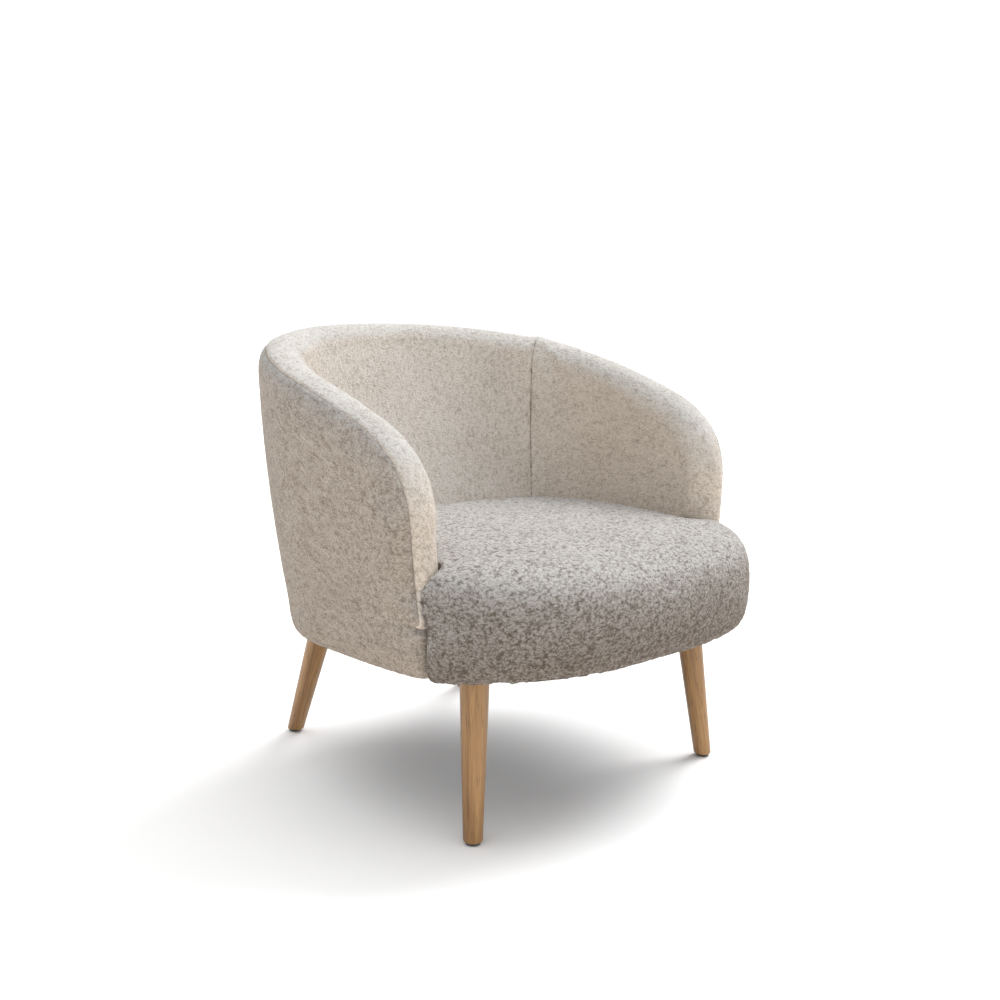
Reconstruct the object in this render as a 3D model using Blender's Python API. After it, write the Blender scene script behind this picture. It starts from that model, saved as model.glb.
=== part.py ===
"""Upholstered tub armchair: oak legs, plywood frame, webbing, foam and fabric covers.

Metres, +Z up, the front faces -Y. The origin is on the floor under the middle of the chair.
"""
import math

import bmesh
import bpy
from mathutils import Matrix, Vector

# Overall size
HEIGHT = 0.720
HALF_WIDTH = 0.362
BACK_DEPTH = 0.342          # from the plan centre to the back, at the top
FRONT_DEPTH = 0.395         # from the plan centre to the front of the seat
PLAN_Y = 0.0265             # the plan centre lies this far behind the origin
BACK_ROUND = 2.15           # superellipse powers of the plan: 2 is an ellipse, more is squarer
FRONT_ROUND = 3.6
SEAT_ROUND = 3.1

# Shell of back and arms
SHELL_BOTTOM = 0.2415
HALF_WIDTH_LOW = 0.332
BACK_DEPTH_LOW = 0.265
FLARE_TOP = 0.66
FLARE_POWER = 1.8
RIM_RADIUS = 0.036
RIM_DROP = 0.15
RIM_CROWN = 0.27
RIM_SIDE = 0.007            # how much lower the rim is at the sides than at the back
BACK_THICK = 0.163          # at seat height, in the middle of the back
SEAT_JOIN = 0.395
SQUARE_TOP = 0.362          # below this the arm's front edge squares off against the seat
ARM_FRONT = -0.2110
CORNER_Z = 0.455            # where the arm's front edge starts to round over
CORNER_END = -0.075
INNER_FOOT = 0.315          # how far the inner covers tuck down beside the seat
SEAM_ANGLE = 45.0
SEAM_HALF_GAP = 0.3

# Layers, counted inwards from the outside of the shell
COVER = 0.0025
PAD_OUT = 0.0031
PAD_IN = 0.0074
PLY_OUT = 0.0095
PLY_IN = 0.0270
FOAM_OUT = 0.0290
FOAM_SLACK = 0.0016         # foam stays this much further from the outer cover
GAP = 0.0003

# Seat
SEAT_HALF_WIDTH = 0.350
SEAT_CENTRE = -0.02
SEAT_RADIUS = 0.370
SEAT_SIDES = 44
PLAN_SIDES = 48

# Wooden base
RING_BOTTOM = 0.2445
RING_TOP = 0.2595
BASE_FLOOR = 0.2598
BASE_TOP = 0.3048
BLOCK = 0.058
RAIL_THICK = 0.022
WEB_WIDTH = 0.050
WEB_THICK = 0.0012
WEB_MIDDLE = 0.3072
FOAM_FLOOR = 0.3095
DUST_BOTTOM = 0.2400
DUST_THICK = 0.0012

# Legs
LEG_TOP = 0.2397
LEG_TOP_RADIUS = 0.0215
LEG_FOOT_RADIUS = 0.0140
GLIDE = 0.004
FRONT_FOOT = (0.253, -0.2305)
FRONT_HEAD = (0.230, -0.2085)
REAR_FOOT = (0.195, 0.3285)
REAR_HEAD = (0.185, 0.2315)

COLOURS = {
    "boucle": ((0.62, 0.56, 0.49, 1), 0.95, 0.0),
    "foam": ((0.80, 0.74, 0.52, 1), 0.90, 0.0),
    "wadding": ((0.86, 0.86, 0.84, 1), 0.95, 0.0),
    "oak": ((0.42, 0.26, 0.13, 1), 0.45, 0.0),
    "plywood": ((0.60, 0.44, 0.27, 1), 0.65, 0.0),
    "pine": ((0.68, 0.50, 0.30, 1), 0.70, 0.0),
    "webbing": ((0.16, 0.14, 0.12, 1), 0.85, 0.0),
    "dust_cloth": ((0.03, 0.03, 0.03, 1), 0.95, 0.0),
    "steel": ((0.60, 0.60, 0.62, 1), 0.35, 1.0),
    "brass_insert": ((0.70, 0.52, 0.22, 1), 0.35, 1.0),
    "nylon": ((0.10, 0.09, 0.08, 1), 0.50, 0.0),
}


def clear_scene():
    """Empty the scene."""
    for thing in list(bpy.data.objects):
        bpy.data.objects.remove(thing, do_unlink=True)


def material(name, colour, roughness, metallic):
    """A plain material of one colour."""
    made = bpy.data.materials.new(name)
    made.use_nodes = True
    shader = made.node_tree.nodes["Principled BSDF"]
    shader.inputs["Base Color"].default_value = colour
    shader.inputs["Roughness"].default_value = roughness
    shader.inputs["Metallic"].default_value = metallic
    made.diffuse_color = colour
    return made


def new_object(name, mesh, slot, smooth=False):
    """Put a mesh in the scene under its own material."""
    for face in mesh.polygons:
        face.use_smooth = smooth
    made = bpy.data.objects.new(name, mesh)
    bpy.context.scene.collection.objects.link(made)
    colour, roughness, metallic = COLOURS[slot]
    made.data.materials.append(material(name + "_" + slot, colour, roughness, metallic))
    return made


def from_bmesh(name, work, slot, smooth=False):
    """Finish a bmesh as an object with its faces turned outwards."""
    bmesh.ops.recalc_face_normals(work, faces=work.faces)
    mesh = bpy.data.meshes.new(name)
    work.to_mesh(mesh)
    work.free()
    return new_object(name, mesh, slot, smooth)


# ---------------------------------------------------------------- plan of the shell

def shell_size(z):
    """Half width, rear depth and front depth of the shell at a height."""
    rise = min(1.0, max(0.0, (z - SHELL_BOTTOM) / (FLARE_TOP - SHELL_BOTTOM)))
    swell = 1.0 - (1.0 - rise) ** FLARE_POWER
    half = HALF_WIDTH_LOW + (HALF_WIDTH - HALF_WIDTH_LOW) * swell
    back = BACK_DEPTH_LOW + (BACK_DEPTH - BACK_DEPTH_LOW) * swell
    return half, back, FRONT_DEPTH


def power(angle):
    """Superellipse power of the plan on this side of its centre."""
    return BACK_ROUND if math.cos(angle) >= 0 else FRONT_ROUND


def signed(value, exponent):
    """A power that keeps the sign."""
    return math.copysign(abs(value) ** exponent, value)


def outline(angle, z):
    """Point on the outside of the shell; angle 0 is the middle of the back."""
    half, back, front = shell_size(z)
    n = power(angle)
    deep = back if math.cos(angle) >= 0 else front
    x = half * signed(math.sin(angle), 2 / n)
    y = PLAN_Y + deep * signed(math.cos(angle), 2 / n)
    return Vector((x, y, z))


def outward(angle, z):
    """Level direction that points out of the shell."""
    half, back, front = shell_size(z)
    n = power(angle)
    deep = back if math.cos(angle) >= 0 else front
    slope_x = signed(abs(math.sin(angle)) ** (2 / n), n - 1) / half
    slope_y = signed(abs(math.cos(angle)) ** (2 / n), n - 1) / deep
    x = math.copysign(slope_x, math.sin(angle))
    y = math.copysign(slope_y, math.cos(angle))
    return Vector((x, y, 0.0)).normalized()


def side_angle(y):
    """Plan angle of a point on the left arm at this y, in front of the plan centre."""
    share = ((PLAN_Y - y) / FRONT_DEPTH) ** (FRONT_ROUND / 2)
    return -(math.pi - math.acos(share))


# ---------------------------------------------------------------- rim of the shell

def rim_height(y):
    """Height of the middle of the rim roll, along the arm and back."""
    run = PLAN_Y + BACK_DEPTH - RIM_RADIUS - y
    return HEIGHT - RIM_RADIUS - RIM_DROP * run - RIM_CROWN * run * run


def rim_at(angle):
    """Height of the rim roll's middle at a plan angle."""
    z = 0.6
    for _ in range(4):
        z = rim_height(outline(angle, z).y + math.cos(angle) * -RIM_RADIUS)
    return min(z, HEIGHT - RIM_RADIUS) - RIM_SIDE * math.sin(angle) ** 2


def corner(t):
    """Rounded front corner of the arm, seen from the side, as y and z."""
    ends = (ARM_FRONT + RIM_RADIUS, CORNER_Z), (CORNER_END, rim_height(CORNER_END) - RIM_SIDE)
    slope = RIM_DROP + 2 * RIM_CROWN * (PLAN_Y + BACK_DEPTH - RIM_RADIUS - CORNER_END)
    start, end = Vector(ends[0]), Vector(ends[1])
    pull = start + Vector((0.0, 0.070)), end - Vector((1.0, slope)) * 0.047
    u = 1 - t
    return u ** 3 * start + 3 * u * u * t * pull[0] + 3 * u * t * t * pull[1] + t ** 3 * end


def station(angle, z, ahead_angle, ahead_z, square=0.0):
    """A stop on the rim: plan angle, height, the way its edge faces, squareness."""
    ahead = outline(ahead_angle, ahead_z) - outline(angle, z)
    edge = ahead.cross(outward(angle, z)).normalized()
    return angle, z, edge, square


def columns():
    """Stops along the top of the shell, from the left arm's front round to the right's."""
    left = []
    for step in range(5):
        y, z = corner(step / 4)
        after = corner(step / 4 + 0.001) if step else Vector((y, z + 0.001))
        left.append(station(side_angle(y), z, side_angle(after[0]), after[1]))
    start = left[-1][0]
    bend = math.radians(-56)
    for step in range(1, 5):
        angle = start + (bend - start) * step / 4
        left.append(station(angle, rim_at(angle), angle + 0.001, rim_at(angle + 0.001)))
    for step in range(1, 6):
        angle = bend * (1 - step / 5)
        left.append(station(angle, rim_at(angle), angle + 0.001, rim_at(angle + 0.001)))
    return left + [mirrored(stop) for stop in reversed(left[:-1])]


def mirrored(stop):
    """The same stop on the other side of the chair."""
    angle, z, edge, square = stop
    return -angle, z, Vector((-edge.x, edge.y, edge.z)), square


COLUMNS = columns()
LAST = len(COLUMNS) - 1
SEAM = 8
MIDDLE = LAST // 2


def front_stop(z, right=False):
    """A stop on the upright front edge of an arm; it is square where the seat covers it."""
    angle = COLUMNS[0][0]
    square = min(1.0, max(0.0, (SQUARE_TOP - z) / 0.030))
    stop = station(angle, z, angle, z + 0.001, square)
    return mirrored(stop) if right else stop


def row_z(column, height, foot):
    """Height in a column, for a height given on the front edge of the arm."""
    share = (height - foot) / (CORNER_Z - foot)
    return foot + share * (COLUMNS[column][1] - foot)


def thickness(column, z):
    """Thickness of the shell at a column and height."""
    angle, top = COLUMNS[column][:2]
    drop = min(1.0, max(0.0, (top - z) / (top - SEAT_JOIN)))
    extra = BACK_THICK - 2 * RIM_RADIUS
    return 2 * RIM_RADIUS + extra * drop * max(0.0, math.cos(angle)) ** 1.5


def roll_point(stop, degrees, radius, depth):
    """A point round the rim roll: 0 degrees is outside, 180 degrees is inside."""
    angle, z, edge, square = stop
    out = outward(angle, z)
    centre = outline(angle, z) - out * depth
    across, along = math.cos(math.radians(degrees)), math.sin(math.radians(degrees))
    stretch = 1 + square * (1 / max(abs(across), abs(along)) - 1)
    return centre + (out * across + edge * along) * radius * stretch


# ---------------------------------------------------------------- skins and slabs

def grid_faces(first, last, rows):
    """Faces of a patch of columns and rows."""
    faces = []
    for i in range(first, last):
        for j in range(rows - 1):
            faces.append((("g", i, j), ("g", i + 1, j), ("g", i + 1, j + 1), ("g", i, j + 1)))
    return faces


def rim_line(first, last, rows):
    """The patch's edge along the rim, with the arm fronts where the patch reaches them."""
    line = []
    if first == 0:
        line += [("g", 0, j) for j in range(rows - 1)]
    line += [("g", i, rows - 1) for i in range(first, last + 1)]
    if last == LAST:
        line += [("g", LAST, j) for j in range(rows - 2, -1, -1)]
    return line


def roll_faces(line, steps):
    """Faces that carry on from the patch round the rim roll."""
    faces = []
    for k in range(len(line) - 1):
        for m in range(steps):
            ring = [line[k + b] if m + a == 0 else ("r", line[k + b], m + a)
                    for a, b in ((0, 0), (0, 1), (1, 1), (1, 0))]
            faces.append(tuple(ring))
    return faces


def stop_of(key, heights):
    """The rim stop that a patch vertex on the rim line belongs to."""
    column, row = key[1], key[2]
    if row == len(heights) - 1:
        return COLUMNS[column]
    return front_stop(heights[row], column == LAST)


def skin_body(name, faces, place, slot, smooth=True):
    """Close two copies of a skin, one on each side, into a solid."""
    work = bmesh.new()
    keys = sorted({key for face in faces for key in face}, key=str)
    sides = [{key: work.verts.new(place(key, side)) for key in keys} for side in (0, 1)]
    edges = {}
    for face in faces:
        for a, b in zip(face, face[1:] + face[:1]):
            edges[(a, b)] = edges.get((a, b), 0) + 1
        start = face.index(min(face, key=str))
        loop = face[start:] + face[:start]
        for k in range(1, len(face) - 1):
            three = (loop[0], loop[k], loop[k + 1])
            work.faces.new([sides[0][key] for key in three])
            work.faces.new([sides[1][key] for key in reversed(three)])
    for a, b in edges:
        if (b, a) in edges:
            continue
        ring = [sides[0][b], sides[0][a], sides[1][a], sides[1][b]]
        if str(a) < str(b):
            ring = ring[1:] + ring[:1]
        work.faces.new(ring[:3])
        work.faces.new((ring[0], ring[2], ring[3]))
    return from_bmesh(name, work, slot, smooth)


def inside_point(key, heights, foot, lift):
    """A patch vertex on the inside of the shell, lift metres proud of it."""
    column, row = key[1], key[2]
    angle = COLUMNS[column][0]
    z = row_z(column, heights[row], foot)
    return outline(angle, z) - outward(angle, z) * (thickness(column, z) + lift)


INSIDE_ROWS = (0.315, 0.332, 0.362, 0.400, 0.455)


def inner_cover(name, first, last):
    """Fabric panel over the inside of the shell and its rolled rim."""
    heights = INSIDE_ROWS
    turns = (157.5, 135.0, 112.5, 90.0, 67.5, SEAM_ANGLE + SEAM_HALF_GAP)
    line = rim_line(first, last, len(heights))
    faces = grid_faces(first, last, len(heights)) + roll_faces(line, len(turns))
    side_gap = GAP / 2

    def place(key, side):
        lift = -COVER if side else 0.0
        if key[0] == "g":
            point = inside_point(key, heights, INNER_FOOT, lift)
        else:
            stop = stop_of(key[1], heights)
            point = roll_point(stop, turns[key[2] - 1], RIM_RADIUS + lift, RIM_RADIUS)
        column = key[1] if key[0] == "g" else key[1][1]
        return point + seam_step(column, first, last, side_gap)

    return skin_body(name, faces, place, "boucle")


def seam_step(column, first, last, gap):
    """Small step away from a seam, so that neighbouring panels don't touch."""
    angle = COLUMNS[column][0]
    out = outward(angle, 0.5)
    along = Vector((out.y, -out.x, 0.0))
    if column == first and first > 0:
        return along * gap
    if column == last and last < LAST:
        return along * -gap
    return Vector((0, 0, 0))


def shell_foam(name, first, last):
    """Foam on the inside of the shell, wrapped over the top edge of the frame."""
    heights = INSIDE_ROWS
    turns = (157.5, 135.0, 112.5, 90.0, 67.5, 45.0, 22.5, 0.0)
    line = rim_line(first, last, len(heights))
    faces = grid_faces(first, last, len(heights)) + roll_faces(line, len(turns))
    core = (FOAM_OUT - PAD_IN) / 2

    def place(key, side):
        column = key[1] if key[0] == "g" else key[1][1]
        step = seam_step(column, first, last, GAP / 2)
        if key[0] == "r":
            stop = stop_of(key[1], heights)
            if side:
                return roll_point(stop, turns[key[2] - 1], core, PAD_IN + core) + step
            turn = turns[key[2] - 1]
            slack = FOAM_SLACK * (1 + 4 * (stop[3] > 0)) if turn < SEAM_ANGLE + 1 else 0.0
            return roll_point(stop, turn, RIM_RADIUS - PAD_OUT - slack, RIM_RADIUS) + step
        if not side:
            return inside_point(key, heights, INNER_FOOT, -PAD_OUT) + step
        angle = COLUMNS[column][0]
        z = row_z(column, heights[key[2]], INNER_FOOT)
        return outline(angle, z) - outward(angle, z) * FOAM_OUT + step

    return skin_body(name, faces, place, "foam")


OUTSIDE_ROWS = (0.2515, 0.290, 0.332, 0.362, 0.400, 0.428, 0.455)


def outer_cover():
    """Fabric panel round the outside, from the rim seam to a hem under the base."""
    heights = OUTSIDE_ROWS
    foot = heights[0]
    turns = (22.5, SEAM_ANGLE - SEAM_HALF_GAP)
    line = rim_line(0, LAST, len(heights))
    faces = [face[::-1] for face in grid_faces(0, LAST, len(heights))]
    faces += [face[::-1] for face in roll_faces(line, len(turns))]
    hem = [("r", line[0], 2), ("r", line[0], 1)] + [("g", i, 0) for i in range(LAST + 1)]
    hem += [("r", line[-1], 1), ("r", line[-1], 2)]
    for a, b in zip(hem, hem[1:]):
        for m in range(3):
            low = [key if m + k == 0 else ("h", key, m + k)
                   for k, key in ((0, a), (0, b), (1, b), (1, a))]
            faces.append(tuple(low))
    bend = foot - SHELL_BOTTOM

    def wall(key, depth):
        if key[0] == "g":
            angle = COLUMNS[key[1]][0]
            z = row_z(key[1], heights[key[2]], foot)
            return outline(angle, z) - outward(angle, z) * depth
        stop = stop_of(key[1], heights)
        return roll_point(stop, turns[key[2] - 1], RIM_RADIUS - depth, RIM_RADIUS)

    def place(key, side):
        depth = COVER if side else 0.0
        if key[0] != "h":
            return wall(key, depth)
        column = key[1][1] if key[1][0] == "g" else key[1][1][1]
        out = outward(COLUMNS[column][0], foot)
        base = wall(key[1], 0.0)
        if key[2] == 3:
            level = base - out * 0.016
            return Vector((level.x, level.y, SHELL_BOTTOM + depth))
        turn = math.radians(45 * key[2])
        inset = bend - (bend - depth) * math.cos(turn)
        drop = (bend - depth) * math.sin(turn)
        return base - out * inset - Vector((0, 0, drop))

    return skin_body("outer_cover", faces, place, "boucle")


def wadding():
    """Thin wadding between the outer cover and the plywood frame."""
    heights = OUTSIDE_ROWS
    rim = set(rim_line(0, LAST, len(heights)))

    def place(key, side):
        angle = COLUMNS[key[1]][0]
        z = row_z(key[1], heights[key[2]], OUTSIDE_ROWS[0])
        point = outline(angle, z) - outward(angle, z) * (PAD_IN if side else PAD_OUT)
        if key[2] == 0:
            point = point.lerp(place((key[0], key[1], 1), side), 0.27)
        if key in rim:
            point -= stop_of(key, heights)[2] * 2 * GAP
        return point

    return skin_body("outer_wadding", grid_faces(0, LAST, len(heights)), place, "wadding")


def frame_slab(name, spots, low, high, rows=2):
    """Curved plywood board inside the shell; a spot of 5.5 is half way from column 5 to 6."""
    def on_column(column, share, side):
        angle, rim = COLUMNS[column][:2]
        z = low(rim) + (high(rim) - low(rim)) * share
        return outline(angle, z) - outward(angle, z) * (PLY_IN if side else PLY_OUT)

    def place(key, side):
        column = min(int(spots[key[1]]), LAST - 1)
        share = key[2] / (rows - 1)
        start, end = (on_column(column + step, share, side) for step in (0, 1))
        return start.lerp(end, spots[key[1]] - column)

    faces = grid_faces(0, len(spots) - 1, rows)
    return skin_body(name, faces, place, "plywood", smooth=False)


def frame_boards():
    """Arm front panels, posts and the top rails of arms and back."""
    rail = 0.060

    def to_rim(rim):
        return rim - GAP

    def under_rim(rim):
        return rim - rail

    def to_rail(rim):
        return rim - rail - 4 * GAP

    def floor(rim):
        return BASE_FLOOR

    boards = (
        ("arm_front_panel_", (0, 1, 2, 3, 4), floor, to_rim, 9),
        ("arm_top_rail_", (4.01, 5, 6, 7, SEAM - 0.005), under_rim, to_rim, 2),
        ("corner_post_", (SEAM - 0.55, SEAM, SEAM + 0.4), floor, to_rail, 9),
        ("back_post_", (SEAM + 3, SEAM + 3.75), floor, to_rail, 9),
    )
    for name, spots, low, high, rows in boards:
        frame_slab(name + "left", spots, low, high, rows)
        frame_slab(name + "right", [LAST - spot for spot in spots][::-1], low, high, rows)
    middle = list(range(SEAM + 1, LAST - SEAM))
    spots = [SEAM + 0.005] + middle + [LAST - SEAM - 0.005]
    frame_slab("back_top_rail", spots, under_rim, to_rim)


# ---------------------------------------------------------------- seat

SEAT_PROFILE = (
    (0.322, 0.2415), (0.344, 0.2415), (0.3560, 0.2470), (0.3630, 0.262), (0.3690, 0.297),
    (0.3695, 0.335), (0.3640, 0.358), (0.3540, 0.374), (0.3380, 0.386), (0.3120, 0.395),
    (0.2600, 0.402), (0.1900, 0.407), (0.1000, 0.410),
)
SEAT_CROWN = 0.411


def seat_plan(turn, share):
    """Level position on the seat's outline, shrunk towards the seat's centre."""
    angle = 2 * math.pi * turn / SEAT_SIDES
    n = BACK_ROUND if math.cos(angle) >= 0 else SEAT_ROUND
    deep = BACK_DEPTH_LOW if math.cos(angle) >= 0 else FRONT_DEPTH
    x = SEAT_HALF_WIDTH * signed(math.sin(angle), 2 / n)
    y = PLAN_Y + deep * signed(math.cos(angle), 2 / n)
    return x * share, SEAT_CENTRE + (y - SEAT_CENTRE) * share


def seat_profile(depth):
    """The seat's profile as radius and height, moved inwards by a depth."""
    path = list(SEAT_PROFILE) + [(0.0, SEAT_CROWN)]
    moved = []
    for k, (r, z) in enumerate(path):
        before = path[max(k - 1, 0)]
        after = path[min(k + 1, len(path) - 1)]
        way = Vector((after[0] - before[0], after[1] - before[1])).normalized()
        moved.append((r - way.y * depth, z + way.x * depth))
    return moved


def seat_cover():
    """Fabric over the seat, down its front and under the base."""
    rows = len(SEAT_PROFILE)
    faces = []
    for i in range(SEAT_SIDES):
        after = (i + 1) % SEAT_SIDES
        for j in range(rows - 1):
            faces.append(((i, j), (after, j), (after, j + 1), (i, j + 1)))
        faces.append(((i, rows - 1), (after, rows - 1), ("top", 0)))
    outer, inner = seat_profile(0.0), seat_profile(COVER)

    def place(key, side):
        path = inner if side else outer
        if key[0] == "top":
            return Vector((0.0, SEAT_CENTRE, path[-1][1]))
        r, z = path[key[1]]
        x, y = seat_plan(key[0], r / SEAT_RADIUS)
        return Vector((x, y, z))

    made = skin_body("seat_cover", faces, place, "boucle")
    cut(made, [shell_room(GAP)])
    return made


def seat_foam():
    """Moulded seat foam with a lip that hangs over the front of the frame."""
    path = [(r, z) for r, z in seat_profile(PAD_OUT) if z > 0.262]
    path = [(path[0][0] - 0.004, BASE_FLOOR + GAP)] + path
    work = bmesh.new()
    rings = []
    for r, z in path[:-1]:
        ring = [seat_plan(i, r / SEAT_RADIUS) for i in range(SEAT_SIDES)]
        rings.append([work.verts.new((x, y, z)) for x, y in ring])
    top = work.verts.new((0.0, SEAT_CENTRE, path[-1][1]))
    work.faces.new(rings[0][::-1])
    for low, high in zip(rings, rings[1:]):
        for i in range(SEAT_SIDES):
            k = (i + 1) % SEAT_SIDES
            work.faces.new((low[i], low[k], high[k]))
            work.faces.new((low[i], high[k], high[i]))
    for i in range(SEAT_SIDES):
        work.faces.new((rings[-1][i], rings[-1][(i + 1) % SEAT_SIDES], top))
    made = from_bmesh("seat_foam", work, "foam", smooth=True)
    room = box("frame_room", (-0.264, -0.242, 0.2), (0.264, 0.4, FOAM_FLOOR), "pine")
    cut(made, [shell_room(4 * GAP), room])
    return made


def shell_room(gap):
    """The space that back and arms take up, for cutting the seat pieces to fit."""
    heights = (0.200,) + INSIDE_ROWS
    turns = (157.5, 135.0, 112.5, 90.0, 67.5, 45.0, 22.5, 0.0)
    line = rim_line(0, LAST, len(heights))
    faces = grid_faces(0, LAST, len(heights)) + roll_faces(line, len(turns))

    def place(key, side):
        if key[0] == "g":
            column, row = key[1], key[2]
            angle = COLUMNS[column][0]
            z = heights[0] if row == 0 else row_z(column, heights[row], INNER_FOOT)
            wall = max(z, INNER_FOOT)
            point = outline(angle, wall)
            depth = thickness(column, wall) + gap if not side else -0.030
            point -= outward(angle, wall) * depth
            return Vector((point.x, point.y, z))
        column, row = key[1][1], key[1][2]
        if row == len(heights) - 1:
            stop, z = COLUMNS[column], COLUMNS[column][1]
        else:
            z = heights[row]
            stop = front_stop(max(z, INNER_FOOT), column == LAST)
        if side:
            out = outward(stop[0], stop[1])
            point = outline(stop[0], stop[1]) + out * 0.030 + stop[2] * 0.002 * key[2]
        else:
            room = gap + (0.002 if row == 0 else 0.0)
            turn = turns[key[2] - 1]
            beyond = 45.0 - turn if row < len(heights) - 1 and turn < 45.0 else 0.0
            point = roll_point(stop, turn + beyond, RIM_RADIUS + room, RIM_RADIUS)
            point += outward(stop[0], stop[1]) * 0.030 * beyond / 45.0
        return Vector((point.x, point.y, point.z - (max(z, INNER_FOOT) - z) * (row == 0)))

    return skin_body("shell_room", faces, place, "foam")


# ---------------------------------------------------------------- plain solids and cuts

def box(name, low, high, slot):
    """A block between two corners."""
    work = bmesh.new()
    bmesh.ops.create_cube(work, size=1.0)
    size = [b - a for a, b in zip(low, high)]
    middle = [(a + b) / 2 for a, b in zip(low, high)]
    bmesh.ops.scale(work, vec=size, verts=work.verts)
    bmesh.ops.translate(work, vec=middle, verts=work.verts)
    return from_bmesh(name, work, slot)


def tilt(direction):
    """Rotation that turns +Z to a direction."""
    return Vector((0, 0, 1)).rotation_difference(Vector(direction)).to_matrix().to_4x4()


def turned(name, profile, base, direction, slot, sides=16, tube=False):
    """A round piece turned from a profile of radius and distance along its axis."""
    work = bmesh.new()
    place = Matrix.Translation(base) @ tilt(direction)
    rings = []
    for radius, along in profile:
        ring = []
        for k in range(sides):
            turn = 2 * math.pi * k / sides
            spot = Vector((radius * math.cos(turn), radius * math.sin(turn), along))
            ring.append(work.verts.new(place @ spot))
        rings.append(ring)
    pairs = list(zip(rings, rings[1:]))
    if tube:
        pairs.append((rings[-1], rings[0]))
    else:
        work.faces.new(rings[0][::-1])
        work.faces.new(rings[-1])
    for low, high in pairs:
        for k in range(sides):
            after = (k + 1) % sides
            work.faces.new((low[k], low[after], high[after], high[k]))
    return from_bmesh(name, work, slot, smooth=True)


def cut(body, cutters):
    """Take the cutters away from a body and drop them."""
    for cutter in cutters:
        modifier = body.modifiers.new("cut", "BOOLEAN")
        modifier.operation = "DIFFERENCE"
        modifier.solver = "EXACT"
        modifier.object = cutter
        bpy.context.view_layer.objects.active = body
        bpy.ops.object.modifier_apply(modifier=modifier.name)
        bpy.data.objects.remove(cutter, do_unlink=True)


# ---------------------------------------------------------------- legs and their fixings

def leg_ends():
    """Name, foot and head of each leg."""
    ends = []
    for end, foot, head in (("front", FRONT_FOOT, FRONT_HEAD), ("rear", REAR_FOOT, REAR_HEAD)):
        for side, sign in (("left", -1), ("right", 1)):
            low = Vector((foot[0] * sign, foot[1], 0.0))
            high = Vector((head[0] * sign, head[1], LEG_TOP))
            ends.append((end + "_" + side, low, high))
    return ends


def trim(work, height, keep_below):
    """Saw a bmesh off level at a height."""
    side = Vector((0, 0, 1)) if keep_below else Vector((0, 0, -1))
    geometry = work.verts[:] + work.edges[:] + work.faces[:]
    result = bmesh.ops.bisect_plane(work, geom=geometry, plane_co=(0, 0, height),
                                    plane_no=side, clear_outer=True)
    rim = [item for item in result["geom_cut"] if isinstance(item, bmesh.types.BMEdge)]
    bmesh.ops.edgeloop_fill(work, edges=rim)


def leg(name, foot, head):
    """Tapered round oak leg, sawn level at both ends and drilled for its fixings."""
    axis = (head - foot).normalized()
    length = (head - foot).length
    spare = 0.03
    taper = (LEG_TOP_RADIUS - LEG_FOOT_RADIUS) / length
    low_radius = LEG_FOOT_RADIUS - taper * spare
    high_radius = LEG_TOP_RADIUS + taper * spare
    work = bmesh.new()
    place = Matrix.Translation((foot + head) / 2) @ tilt(axis)
    bmesh.ops.create_cone(work, cap_ends=True, segments=24, radius1=low_radius,
                          radius2=high_radius, depth=length + 2 * spare, matrix=place)
    trim(work, LEG_TOP, True)
    trim(work, GLIDE + GAP, False)
    sole = [e for e in work.edges if all(abs(v.co.z - GLIDE - GAP) < 1e-6 for v in e.verts)]
    bmesh.ops.bevel(work, geom=sole, offset=0.002, segments=2, affect="EDGES", profile=0.5)
    made = from_bmesh("leg_" + name, work, "oak", smooth=True)
    drill = turned("drill", ((0.0046, -0.042), (0.0046, 0.02)), head, axis, "steel")
    nail_hole = turned("nail_hole", ((0.0023, 0.0), (0.0023, 0.019)), foot, (0, 0, 1), "steel")
    cut(made, [drill, nail_hole])
    return made


def hanger_bolt(name, head, axis):
    """Steel bolt with a wood thread in the leg and a machine thread in the frame."""
    profile = ((0.0024, -0.040), (0.0042, -0.034), (0.0042, -0.004), (0.0036, -0.003),
               (0.0036, 0.001), (0.0039, 0.002), (0.0039, 0.048), (0.0031, 0.050))
    return turned("hanger_bolt_" + name, profile, head, axis, "steel")


def threaded_insert(name, head, axis):
    """Threaded insert in the corner block that takes the bolt."""
    profile = ((0.0042, 0.026), (0.0062, 0.026), (0.0062, 0.044), (0.0042, 0.044))
    return turned("threaded_insert_" + name, profile, head, axis, "brass_insert", tube=True)


def glide(name, foot):
    """Nail-on glide under the leg."""
    profile = ((0.0085, 0.0), (0.0105, 0.0012), (0.0105, GLIDE), (0.0020, GLIDE),
               (0.0020, 0.016), (0.0006, 0.018))
    return turned("glide_" + name, profile, foot, (0, 0, 1), "nylon")


def bolt_cutter(name, head, axis, radius, low, high):
    """Cutter along a leg's axis."""
    return turned(name, ((radius, low), (radius, high)), head, axis, "steel")


# ---------------------------------------------------------------- base frame

def plan_loop(half, back, front, z):
    """Level loop of points in the plan shape of the base."""
    loop = []
    for k in range(PLAN_SIDES):
        angle = 2 * math.pi * k / PLAN_SIDES
        n = BACK_ROUND if math.cos(angle) >= 0 else SEAT_ROUND
        deep = back if math.cos(angle) >= 0 else front
        x = half * signed(math.sin(angle), 2 / n)
        loop.append(Vector((x, PLAN_Y + deep * signed(math.cos(angle), 2 / n), z)))
    return loop


def screw_places():
    """Base screw positions, one into each corner block."""
    return [(name, Vector((head.x * 0.93, head.y * 0.86, 0.0))) for name, _, head in leg_ends()]


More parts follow.
